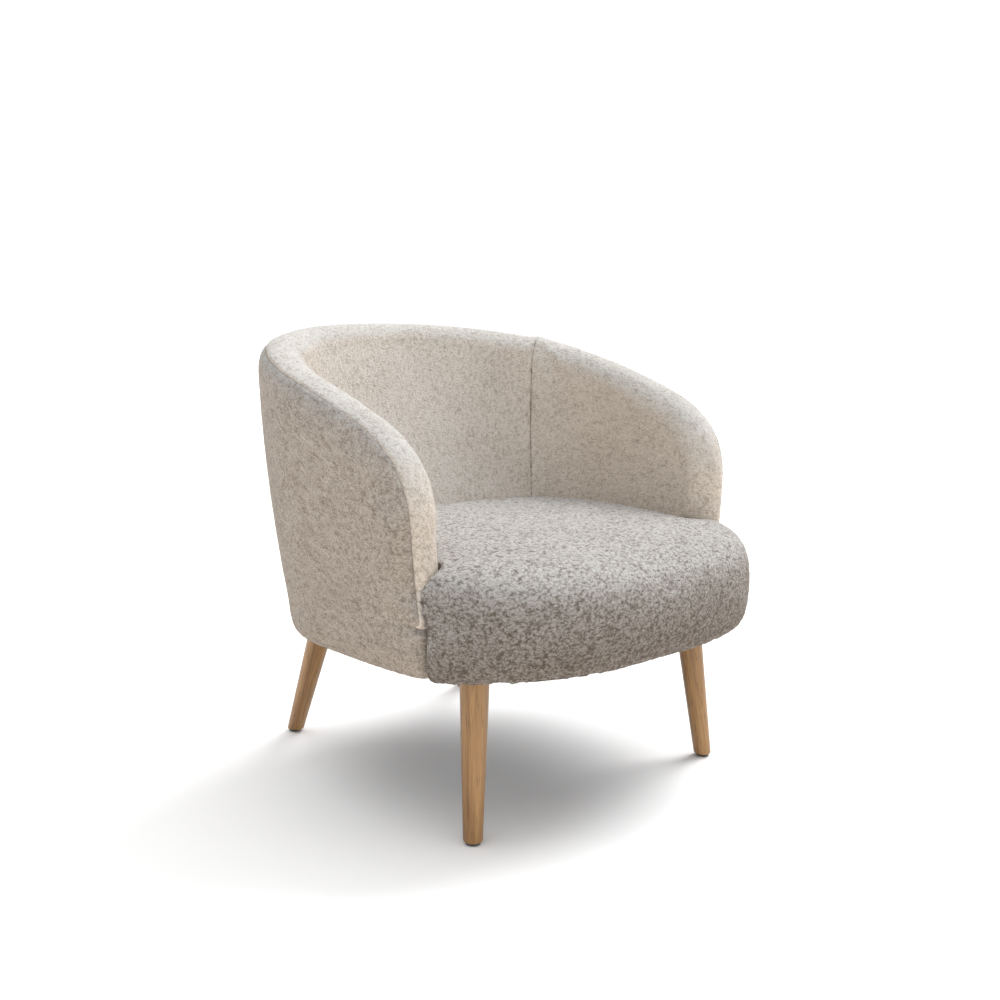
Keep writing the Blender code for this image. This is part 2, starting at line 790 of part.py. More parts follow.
def base_ring():
    """Plywood ring under the seat that the posts, blocks and legs fix to."""
    work = bmesh.new()
    loops = []
    for half, back, front in ((0.3170, 0.2490, 0.3640), (0.190, 0.150, 0.185)):
        for z in (RING_BOTTOM, RING_TOP):
            loops.append([work.verts.new(spot) for spot in plan_loop(half, back, front, z)])
    outer_low, outer_high, inner_low, inner_high = loops
    walls = ((outer_low, outer_high), (outer_high, inner_high), (inner_high, inner_low),
             (inner_low, outer_low))
    for one, two in walls:
        for k in range(PLAN_SIDES):
            after = (k + 1) % PLAN_SIDES
            work.faces.new((one[k], one[after], two[after], two[k]))
    made = from_bmesh("base_ring", work, "plywood")
    cutters = []
    for name, foot, head in leg_ends():
        axis = (head - foot).normalized()
        cutters.append(bolt_cutter("ring_hole", head, axis, 0.0055, -0.02, 0.05))
    for name, place in screw_places():
        cutters.append(turned("screw_hole", SCREW_HOLE, place, (0, 0, 1), "steel", 12))
    cut(made, cutters)
    return made


SCREW_HOLE = ((0.0048, 0.2400), (0.0048, 0.2455), (0.0023, 0.2485), (0.0023, 0.2830))


def base_screw(name, place):
    """Countersunk screw up through the base ring into a corner block."""
    profile = ((0.0038, 0.2447), (0.0042, 0.2455), (0.0020, 0.2482), (0.0020, 0.2790),
               (0.0004, 0.2825))
    return turned("base_screw_" + name, profile, place, (0, 0, 1), "steel", sides=12)


def corner_block(name, foot, head):
    """Solid block over a leg, drilled for the insert and the bolt."""
    axis = (head - foot).normalized()
    x = head.x + axis.x * 0.035
    y = head.y + axis.y * 0.035
    made = box("corner_block_" + name, (x - BLOCK / 2, y - BLOCK / 2, BASE_FLOOR),
               (x + BLOCK / 2, y + BLOCK / 2, BASE_TOP), "pine")
    work = bmesh.new()
    work.from_mesh(made.data)
    away = [e for e in work.edges
            if all(v.co.x * x > x * x and (v.co.y - y) * y > 0 for v in e.verts)]
    bmesh.ops.bevel(work, geom=away, offset=0.020, segments=1, affect="EDGES")
    work.to_mesh(made.data)
    work.free()
    cutters = [bolt_cutter("insert_hole", head, axis, 0.0066, -0.01, 0.0455),
               bolt_cutter("bolt_hole", head, axis, 0.0046, 0.030, 0.052)]
    place = dict(screw_places())[name]
    cutters.append(turned("screw_hole", SCREW_HOLE, place, (0, 0, 1), "steel", 12))
    cut(made, cutters)
    return made


def block_centres():
    """Level centres of the front and rear blocks on the right side."""
    centres = {}
    for name, foot, head in leg_ends():
        axis = (head - foot).normalized()
        centres[name] = (head.x + axis.x * 0.035, head.y + axis.y * 0.035)
    return centres


def slanted_rail(name, start, end):
    """Straight rail between two blocks, which may stand at different widths."""
    work = bmesh.new()
    level = Vector((end[0] - start[0], end[1] - start[1], 0.0))
    across = level.normalized().cross(Vector((0, 0, 1))) * RAIL_THICK / 2
    corners = []
    for spot, sign in ((start, 1), (start, -1), (end, -1), (end, 1)):
        corners.append(Vector((spot[0], spot[1], 0.0)) + across * sign)
    if abs(level.x) < abs(level.y):
        for corner_spot, spot in zip(corners, (start, start, end, end)):
            corner_spot.y = spot[1]
    low = [work.verts.new((c.x, c.y, BASE_FLOOR)) for c in corners]
    high = [work.verts.new((c.x, c.y, BASE_TOP)) for c in corners]
    work.faces.new(low)
    work.faces.new(high[::-1])
    for k in range(4):
        after = (k + 1) % 4
        work.faces.new((low[k], low[after], high[after], high[k]))
    return from_bmesh(name, work, "pine")


def seat_rails():
    """Front, rear and side rails between the corner blocks."""
    centres = block_centres()
    reach = BLOCK / 2 + GAP
    front, rear = centres["front_right"], centres["rear_right"]
    for name, spot in (("seat_rail_front", front), ("seat_rail_rear", rear)):
        slanted_rail(name, (-spot[0] + reach, spot[1]), (spot[0] - reach, spot[1]))
    for side, sign in (("left", -1), ("right", 1)):
        start = (front[0] * sign, front[1] + reach)
        end = (rear[0] * sign, rear[1] - reach)
        slanted_rail("seat_rail_" + side, start, end)


def strap(name, along_x, place, low, high, crossings, first_up):
    """Webbing strap woven over and under the straps that cross it."""
    work = bmesh.new()
    stops = [(low, 0.0)]
    for k, spot in enumerate(crossings):
        lift = 0.0010 if (k % 2 == 0) == first_up else -0.0010
        stops += [(spot - 0.028, lift), (spot + 0.028, lift)]
    stops.append((high, 0.0))
    rows = []
    for spot, lift in stops:
        row = []
        for across in (-WEB_WIDTH / 2, WEB_WIDTH / 2):
            for up in (-WEB_THICK / 2, WEB_THICK / 2):
                z = WEB_MIDDLE + lift + up
                point = (spot, place + across, z) if along_x else (place + across, spot, z)
                row.append(work.verts.new(point))
        rows.append(row)
    order = (0, 1, 3, 2)
    work.faces.new([rows[0][k] for k in order])
    work.faces.new([rows[-1][k] for k in reversed(order)])
    for one, two in zip(rows, rows[1:]):
        for k in range(4):
            a, b = order[k], order[(k + 1) % 4]
            work.faces.new((one[a], one[b], two[b], two[a]))
    return from_bmesh(name, work, "webbing")


def webbing():
    """Straps stretched over the seat rails, front to back and side to side."""
    centres = block_centres()
    front = centres["front_right"][1] - RAIL_THICK / 2
    rear = centres["rear_right"][1] + RAIL_THICK / 2
    columns_x = (-0.120, -0.040, 0.040, 0.120)
    rows_y = (-0.120, -0.030, 0.060, 0.145)
    for k, x in enumerate(columns_x):
        strap("web_strap_long_%d" % (k + 1), False, x, front, rear, rows_y, k % 2 == 0)
    for k, y in enumerate(rows_y):
        start, end = centres["front_right"], centres["rear_right"]
        share = (y - start[1]) / (end[1] - start[1])
        reach = start[0] + (end[0] - start[0]) * share + RAIL_THICK / 2 - 0.002
        strap("web_strap_cross_%d" % (k + 1), True, y, -reach, reach, columns_x, k % 2 == 1)


def dust_cover():
    """Black cloth stapled under the chair, with a hole for each leg bolt."""
    work = bmesh.new()
    rings = []
    for z in (DUST_BOTTOM, DUST_BOTTOM + DUST_THICK):
        rings.append([work.verts.new(spot) for spot in plan_loop(0.312, 0.247, 0.360, z)])
    work.faces.new(rings[0][::-1])
    work.faces.new(rings[1])
    for k in range(PLAN_SIDES):
        after = (k + 1) % PLAN_SIDES
        work.faces.new((rings[0][k], rings[0][after], rings[1][after], rings[1][k]))
    made = from_bmesh("dust_cover", work, "dust_cloth")
    cutters = []
    for name, foot, head in leg_ends():
        axis = (head - foot).normalized()
        cutters.append(bolt_cutter("dust_hole", head, axis, 0.0055, -0.01, 0.01))
    cut(made, cutters)
    return made


def build():
    """Make every piece of the chair."""
    clear_scene()
    for name, foot, head in leg_ends():
        axis = (head - foot).normalized()
        leg(name, foot, head)
        hanger_bolt(name, head, axis)
        threaded_insert(name, head, axis)
        glide(name, foot)
        corner_block(name, foot, head)
    for name, place in screw_places():
        base_screw(name, place)
    base_ring()
    seat_rails()
    webbing()
    dust_cover()
    frame_boards()
    wadding()
    shell_foam("arm_foam_left", 0, SEAM)
    shell_foam("back_foam", SEAM, LAST - SEAM)
    shell_foam("arm_foam_right", LAST - SEAM, LAST)
    seat_foam()
    inner_cover("arm_cover_left", 0, SEAM)
    inner_cover("inner_back_cover", SEAM, LAST - SEAM)
    inner_cover("arm_cover_right", LAST - SEAM, LAST)
    outer_cover()
    seat_cover()


build()
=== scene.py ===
"""Looks of the upholstered armchair: looped-cloth tub shell, rounded seat and four oak legs."""
import logging
import math
from dataclasses import dataclass, field
from enum import Enum
from typing import Callable, Union

import bmesh
import bpy
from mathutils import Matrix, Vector, noise


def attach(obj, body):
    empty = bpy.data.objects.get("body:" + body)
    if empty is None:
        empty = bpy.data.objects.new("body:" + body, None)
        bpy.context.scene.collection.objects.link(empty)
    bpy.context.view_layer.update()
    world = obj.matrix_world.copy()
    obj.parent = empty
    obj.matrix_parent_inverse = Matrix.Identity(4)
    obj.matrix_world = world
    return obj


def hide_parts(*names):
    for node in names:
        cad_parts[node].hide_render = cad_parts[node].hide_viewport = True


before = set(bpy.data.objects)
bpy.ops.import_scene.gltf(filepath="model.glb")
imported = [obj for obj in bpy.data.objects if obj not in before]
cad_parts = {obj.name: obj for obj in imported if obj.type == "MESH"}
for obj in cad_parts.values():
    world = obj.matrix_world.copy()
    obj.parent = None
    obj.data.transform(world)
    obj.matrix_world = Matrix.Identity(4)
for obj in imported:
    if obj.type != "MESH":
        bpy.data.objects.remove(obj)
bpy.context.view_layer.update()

log = logging.getLogger("armchair")
Key = tuple
Stop = tuple[float, float, Vector, float]


# ------------------------------------------------------------------ shader tools

class Value:
    """A number that varies over a surface, with arithmetic that adds Math nodes."""

    def __init__(self, recipe: "Recipe", socket: bpy.types.NodeSocket) -> None:
        """Wrap an output socket of a recipe's node tree."""
        self.recipe = recipe
        self.socket = socket

    def _math(self, operation: str, first: "Number", second: "Number") -> "Value":
        """Add one Math node and return its result."""
        node = self.recipe.add("ShaderNodeMath", {"operation": operation}, {0: first, 1: second})
        return Value(self.recipe, node.outputs[0])

    def __add__(self, other: "Number") -> "Value":
        """Sum."""
        return self._math("ADD", self, other)

    __radd__ = __add__

    def __sub__(self, other: "Number") -> "Value":
        """Difference."""
        return self._math("SUBTRACT", self, other)

    def __rsub__(self, other: "Number") -> "Value":
        """Difference with the number on the left."""
        return self._math("SUBTRACT", other, self)

    def __mul__(self, other: "Number") -> "Value":
        """Product."""
        return self._math("MULTIPLY", self, other)

    __rmul__ = __mul__

    def at_most(self, other: "Number") -> "Value":
        """The smaller of the two."""
        return self._math("MINIMUM", self, other)

    def at_least(self, other: "Number") -> "Value":
        """The larger of the two."""
        return self._math("MAXIMUM", self, other)


Number = Union[Value, float, int]
Colour = tuple[float, float, float]


class Recipe:
    """The node tree of one material."""

    def __init__(self, name: str) -> None:
        """Start a material of this name with one Principled shader."""
        self.material = bpy.data.materials.new(name)
        self.material.use_nodes = True
        self.tree = self.material.node_tree
        self.shader = self.tree.nodes["Principled BSDF"]

    def add(self, kind: str, settings: dict, sockets: dict) -> bpy.types.Node:
        """Add a node.

        Args:
            kind: The node's type.
            settings: Its settings, which are set first; "stops" are a ramp's stops.
            sockets: Values or links, by socket name or place.

        Returns:
            The node.
        """
        node = self.tree.nodes.new(kind)
        for key, setting in settings.items():
            if key == "stops":
                self._set_stops(node.color_ramp, setting)
            else:
                setattr(node, key, setting)
        for key, value in sockets.items():
            self._plug(self._socket(node, key), value)
        return node

    @staticmethod
    def _socket(node: bpy.types.Node, key: Union[int, str]) -> bpy.types.NodeSocket:
        """Find an input that is in use, by its place or its name."""
        if isinstance(key, int):
            return node.inputs[key]
        return next(s for s in node.inputs if s.enabled and s.name == key)

    @staticmethod
    def _set_stops(ramp: bpy.types.ColorRamp, stops: list) -> None:
        """Give a colour ramp its stops."""
        while len(ramp.elements) < len(stops):
            ramp.elements.new(0.5)
        for element, (place, colour) in zip(ramp.elements, stops):
            element.position = place
            element.color = (*colour, 1.0)

    def _plug(self, socket: bpy.types.NodeSocket, value: object) -> None:
        """Link a socket, or set its own value."""
        if isinstance(value, Value):
            self.tree.links.new(value.socket, socket)
        elif isinstance(value, bpy.types.NodeSocket):
            self.tree.links.new(value, socket)
        elif isinstance(value, tuple) and len(value) == 3 and socket.type == "RGBA":
            socket.default_value = (*value, 1.0)
        else:
            socket.default_value = value

    def place(self, scale: tuple[float, float, float] = (1.0, 1.0, 1.0),
              attribute: str = "") -> bpy.types.NodeSocket:
        """A position on the piece.

        Args:
            scale: How much the pattern is squeezed along each axis.
            attribute: The piece's own position attribute, or nothing for Object coordinates.

        Returns:
            The socket with the position.
        """
        if attribute:
            source = self.add("ShaderNodeAttribute", {"attribute_name": attribute}, {})
            spot = source.outputs["Vector"]
        else:
            spot = self.add("ShaderNodeTexCoord", {}, {}).outputs["Object"]
        mapping = self.add("ShaderNodeMapping", {}, {"Vector": spot, "Scale": scale})
        return mapping.outputs["Vector"]

    def cloud(self, spot: bpy.types.NodeSocket, scale: float, detail: float = 4.0,
              rough: float = 0.55, twist: float = 0.0) -> Value:
        """Soft noise from 0 to 1."""
        node = self.add("ShaderNodeTexNoise", {}, {
            "Vector": spot, "Scale": scale, "Detail": detail,
            "Roughness": rough, "Distortion": twist})
        return Value(self, node.outputs["Fac"])

    def cells(self, spot: bpy.types.NodeSocket, scale: float, smooth: float = 0.4) -> Value:
        """Distance to the nearest of many scattered points."""
        node = self.add("ShaderNodeTexVoronoi", {"feature": "SMOOTH_F1"}, {
            "Vector": spot, "Scale": scale, "Smoothness": smooth})
        return Value(self, node.outputs["Distance"])

    def warped(self, spot: bpy.types.NodeSocket, scale: float, reach: float) -> bpy.types.NodeSocket:
        """Positions pushed about by soft noise, by up to half the reach."""
        moved = self.add("ShaderNodeTexNoise", {}, {
            "Vector": spot, "Scale": scale, "Detail": 2.0, "Roughness": 0.5}).outputs["Color"]
        for operation, other in (("SUBTRACT", (0.5,) * 3), ("MULTIPLY", (reach * 2,) * 3),
                                 ("ADD", spot)):
            moved = self.add("ShaderNodeVectorMath", {"operation": operation},
                             {0: moved, 1: other}).outputs[0]
        return moved

    def bands(self, spot: bpy.types.NodeSocket, scale: float, axis: str,
              distortion: float = 0.0) -> Value:
        """Even stripes across an axis."""
        node = self.add("ShaderNodeTexWave", {"bands_direction": axis}, {
            "Vector": spot, "Scale": scale, "Distortion": distortion,
            "Detail": 3.0, "Detail Scale": 1.5})
        return Value(self, node.outputs["Fac"])

    def number(self, attribute: str) -> Value:
        """A number stored on the piece's own points."""
        node = self.add("ShaderNodeAttribute", {"attribute_name": attribute}, {})
        return Value(self, node.outputs["Fac"])

    def ramp(self, value: Value, stops: list) -> bpy.types.NodeSocket:
        """Turn a number into a colour through stops."""
        node = self.add("ShaderNodeValToRGB", {"stops": stops}, {"Fac": value})
        return node.outputs["Color"]

    def mix(self, amount: Number, first: object, second: object,
            way: str = "MIX") -> bpy.types.NodeSocket:
        """Mix two colours."""
        node = self.add("ShaderNodeMix", {"data_type": "RGBA", "blend_type": way}, {
            "Factor": amount, "A": first, "B": second})
        return next(s for s in node.outputs if s.enabled)

    def bump(self, height: Value, depth: float, strength: float = 1.0) -> None:
        """Send a height through a Bump node to the shader's normal."""
        node = self.add("ShaderNodeBump", {}, {
            "Height": height, "Distance": depth, "Strength": strength})
        self._plug(self.shader.inputs["Normal"], node.outputs["Normal"])

    def set(self, **sockets: object) -> None:
        """Set or link the shader's own sockets, with _ for a space in their names."""
        for key, value in sockets.items():
            self._plug(self.shader.inputs[key.replace("_", " ")], value)


# ------------------------------------------------------------------ finishes

@dataclass(frozen=True)
class Finish:
    """A finish that lays its nodes in a new material."""

    name: str

    def make(self) -> bpy.types.Material:
        """Build the material."""
        recipe = Recipe(self.name)
        self.paint(recipe)
        return recipe.material

    def paint(self, recipe: Recipe) -> None:
        """Add the nodes; each kind of finish has its own."""
        raise NotImplementedError


@dataclass(frozen=True)
class Boucle(Finish):
    """Undyed looped wool cloth with small curly loops.

    The colour also follows the way the cloth faces, as painted light and shade: upward faces are
    multiplied by a greyer, cooler tint ("above"), and faces that turn sideways or down are darkened
    and warmed as painted shade.
    """

    # Colours of the loop tops (painted light), the yarn, and the gaps between loops (painted shade).
    crest: Colour
    yarn: Colour
    hollow_painted_shade: Colour
    loop: float
    depth: float
    # Painted shade: how dark faces that turn sideways or down are made, with a warmer tint.
    painted_shade_down: float
    # Painted shade: how far faces that turn sideways or down are pushed towards the hollow colour.
    painted_hollows_down: float
    # Painted tint on upward faces, greyer and cooler, part of the painted light and shade by facing.
    above: Colour = (0.78, 0.81, 0.85)

    def paint(self, recipe: Recipe) -> None:
        """Add the nodes of the cloth."""
        spot = recipe.place((1.0, 1.0, 1.45))
        twisted = recipe.warped(spot, 0.75 / self.loop, self.loop * 0.9)
        loops = 1 - recipe.cells(twisted, 1.0 / self.loop, 0.15)
        strand = 1 - recipe.cells(twisted, 2.3 / self.loop, 0.10)
        curl = recipe.cloud(spot, 1.3 / self.loop, 4.0, 0.65, 2.2)
        patch = recipe.cloud(spot, 11.0, 3.0, 0.5)
        pile = recipe.number("pile")
        facing_up = ((recipe.number("facing_up") + 0.24) * 1.15).at_least(0.0).at_most(1.0)
        # Painted shade and light: the low places of the pile and the gaps between loops go towards
        # the hollow colour, the loop tops towards the crest colour.
        shade = loops * 0.36 + strand * 0.32 + curl * 0.46 + pile * 0.30 - 0.30
        # Painted shade: faces turned away from the top take more of the hollow colour.
        shade = shade - (1 - facing_up) * self.painted_hollows_down
        cloth = recipe.ramp(shade, [(0.20, self.hollow_painted_shade), (0.46, self.yarn), (0.72, self.crest)])
        aged = recipe.mix(patch, (0.90, 0.885, 0.87), (1.08, 1.08, 1.08))
        tone = recipe.mix(1.0, cloth, aged, "MULTIPLY")
        # Painted light and shade by facing: faces turned sideways or down are darkened and warmed,
        # upward faces take the greyer, cooler tint.
        low = (self.painted_shade_down, self.painted_shade_down * 0.915, self.painted_shade_down * 0.835)
        cloth_with_painted_shade = recipe.mix(1.0, tone, recipe.mix(facing_up, low, self.above), "MULTIPLY")
        recipe.set(Base_Color=cloth_with_painted_shade, Roughness=0.84 + curl * 0.12, Sheen_Weight=0.12,
                   Sheen_Roughness=0.5, Specular_IOR_Level=0.22)
        recipe.shader.inputs["Sheen Tint"].default_value = (0.96, 0.94, 0.92, 1.0)
        recipe.bump(loops * 0.6 + strand * 0.25 + curl * 0.5, self.depth, 0.9)


@dataclass(frozen=True)
class Oak(Finish):
    """Clear-lacquered oak with straight grain along the leg."""

    name: str = "oak"
    pale: Colour = (0.405, 0.222, 0.082)
    dark: Colour = (0.120, 0.054, 0.016)

    def paint(self, recipe: Recipe) -> None:
        """Add the nodes of the wood."""
        figure = recipe.cloud(recipe.place((150.0, 150.0, 3.2), "grain"), 1.0, 5.0, 0.6, 0.25)
        sweep = recipe.cloud(recipe.place((38.0, 38.0, 1.6), "grain"), 1.0, 3.0, 0.5, 0.4)
        pore = recipe.cloud(recipe.place((420.0, 420.0, 24.0), "grain"), 1.0, 2.0, 0.6)
        shade = figure * 0.55 + sweep * 0.55
        wood = recipe.ramp(shade, [(0.34, self.dark), (0.52, (0.272, 0.138, 0.047)),
                                   (0.70, self.pale)])
        holes = ((pore - 0.54) * 6.0).at_least(0.0).at_most(1.0)
        tone = recipe.mix(holes * 0.62, wood, (0.095, 0.045, 0.018))
        recipe.set(Base_Color=tone, Roughness=0.40 + figure * 0.12, Coat_Weight=0.18,
                   Specular_IOR_Level=0.42)
        recipe.shader.inputs["Coat Roughness"].default_value = 0.32
        recipe.bump(1 - holes * 0.7 - figure * 0.25, 0.00025, 0.6)


class Grain(Enum):
    """Which way the grain of a board runs."""

    ACROSS = "X"
    DEEP = "Y"
    UP = "Z"


@dataclass(frozen=True)
class Timber(Finish):
    """Plain unfinished wood inside the frame, solid or in glued layers."""

    pale: Colour
    dark: Colour
    grain: Grain
    layers: float = 0.0

    def paint(self, recipe: Recipe) -> None:
        """Add the nodes of the wood."""
        stretch = tuple(4.0 if way is self.grain else 60.0 for way in Grain)
        spot = recipe.place(stretch)
        figure = recipe.cloud(spot, 1.0, 5.0, 0.6, 0.5)
        fibre = recipe.cloud(recipe.place(tuple(6 * s for s in stretch)), 1.0, 2.0)
        shade = figure * 0.75 + fibre * 0.30
        wood = recipe.ramp(shade, [(0.30, self.dark), (0.72, self.pale)])
        height = figure * 0.4 + fibre * 0.6
        if self.layers:
            plies = recipe.bands(recipe.place((1.0, 1.0, 1.0)), self.layers, "Z", 0.4)
            wood = recipe.mix(plies * 0.35, wood, self.dark)
            height = height + plies * 0.3
        recipe.set(Base_Color=wood, Roughness=0.62 + fibre * 0.2)
        recipe.bump(height, 0.0003, 0.5)


@dataclass(frozen=True)
class Metal(Finish):
    """Small turned or plated metal parts."""

    bright: Colour
    dull: Colour
    roughness: float

    def paint(self, recipe: Recipe) -> None:
        """Add the nodes of the metal."""
        spot = recipe.place()
        turning = recipe.bands(spot, 260.0, "Z", 1.2)
        stain = recipe.cloud(spot, 120.0, 4.0, 0.6)
        recipe.set(Base_Color=recipe.mix(stain, self.dull, self.bright), Metallic=1.0,
                   Roughness=self.roughness + stain * 0.18)
        recipe.bump(turning, 0.00012, 0.6)


@dataclass(frozen=True)
class Moulded(Finish):
    """Dark moulded nylon with a fine scuffed face."""

    name: str = "nylon"

    def paint(self, recipe: Recipe) -> None:
        """Add the nodes of the plastic."""
        spot = recipe.place()
        scuff = recipe.cloud(spot, 380.0, 4.0, 0.7)
        recipe.set(Base_Color=recipe.mix(scuff, (0.030, 0.026, 0.022), (0.075, 0.066, 0.056)),
                   Roughness=0.42 + scuff * 0.22)
        recipe.bump(scuff, 0.0001, 0.4)


@dataclass(frozen=True)
class WovenCloth(Finish):
    """Flat woven or pressed cloth: the webbing and the cover under the chair."""

    pale: Colour
    dark: Colour
    thread: float
    depth: float = 0.0003

    def paint(self, recipe: Recipe) -> None:
        """Add the nodes of the cloth."""
        spot = recipe.place()
        rate = 1.0 / (self.thread * 2 * math.pi) * 0.314
        warp = recipe.bands(spot, rate, "X", 0.3)
        weft = recipe.bands(spot, rate, "Y", 0.3)
        fibre = recipe.cloud(spot, 320.0, 3.0, 0.65)
        weave = warp * 0.5 + weft * 0.5
        recipe.set(Base_Color=recipe.mix(weave * 0.6 + fibre * 0.4, self.dark, self.pale),
                   Roughness=0.80 + fibre * 0.15, Sheen_Weight=0.15)
        recipe.bump(weave * 0.6 + fibre * 0.4, self.depth, 0.7)


# ------------------------------------------------------------------ modelling tools

def deselect_all() -> None:
    """Leave edit mode and deselect everything."""
    if bpy.context.mode != "OBJECT":
        bpy.ops.object.mode_set(mode="OBJECT")
    bpy.ops.object.select_all(action="DESELECT")


def make_active(piece: bpy.types.Object) -> None:
    """Select one piece only and make it active."""
    deselect_all()
    piece.select_set(True)
    bpy.context.view_layer.objects.active = piece


def pick(piece: bpy.types.Object, wanted: Callable[[bmesh.types.BMFace], bool]) -> None:
    """Select faces of the piece in edit mode.

    Args:
        piece: The piece, which is being edited.
        wanted: Tells whether a face is selected.
    """
    bpy.ops.mesh.select_all(action="DESELECT")
    bpy.ops.mesh.select_mode(type="FACE")
    work = bmesh.from_edit_mesh(piece.data)
    for face in work.faces:
        face.select_set(bool(wanted(face)))
    bmesh.update_edit_mesh(piece.data)


def settle(piece: bpy.types.Object, finish: bpy.types.Material) -> None:
    """Bring a finished piece to the origin and give it its finish and body.

    Args:
        piece: The finished piece.
        finish: Its material.
    """
    make_active(piece)
    bpy.ops.object.transform_apply(location=True, rotation=True, scale=True)
    piece.data.materials.clear()
    piece.data.materials.append(finish)
    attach(piece, "root")
    log.info("%s: %d points, %d faces", piece.name, len(piece.data.vertices),
             len(piece.data.polygons))


def apply_modifier(piece: bpy.types.Object, name: str) -> None:
    """Apply one modifier of a piece."""
    make_active(piece)
    bpy.ops.object.modifier_apply(modifier=name)


def from_faces(name: str, spots: list[Vector], faces: list[tuple]) -> bpy.types.Object:
    """Make an object of points and faces.

    Args:
        name: The piece's name.
        spots: Its points.
        faces: Its faces, as places in the list of points.

    Returns:
        The object, with its faces outwards.
    """
    mesh = bpy.data.meshes.new(name)
    mesh.from_pydata([tuple(spot) for spot in spots], [], faces)
    mesh.validate()
    work = bmesh.new()
    work.from_mesh(mesh)
    bmesh.ops.recalc_face_normals(work, faces=work.faces)
    work.to_mesh(mesh)
    work.free()
    made = bpy.data.objects.new(name, mesh)
    bpy.context.scene.collection.objects.link(made)
    mesh.shade_smooth()
    return made


def rings(sides: int, count: int) -> list[tuple]:
    """Faces that join rings of points one above the other and close both ends.

    Args:
        sides: Points in a ring.
        count: How many rings.

    Returns:
        The faces, as places in the list of points.
    """
    faces = []
    for low in range(0, (count - 1) * sides, sides):
        for turn in range(sides):
            after = (turn + 1) % sides
            faces.append((low + turn, low + after, low + sides + after, low + sides + turn))
    top = (count - 1) * sides
    return faces + [tuple(reversed(range(sides))), tuple(range(top, top + sides))]


# ------------------------------------------------------------------ shape of the tub

def signed(value: float, exponent: float) -> float:
    """A power that keeps the sign."""
    return math.copysign(abs(value) ** exponent, value)


def clamp(value: float) -> float:
    """The value, kept from 0 to 1."""
    return min(1.0, max(0.0, value))


def superellipse(angle: float, half: float, rear: tuple, front: tuple) -> tuple[float, float]:
    """Level point on a rounded outline; angle 0 is the middle of the back.

    Args:
        angle: The plan angle.
        half: Half the width.
        rear: Depth and roundness behind the middle.
        front: Depth and roundness before it.

    Returns:
        Its x and y, from the middle.
    """
    deep, n = rear if math.cos(angle) >= 0 else front
    return half * signed(math.sin(angle), 2 / n), deep * signed(math.cos(angle), 2 / n)


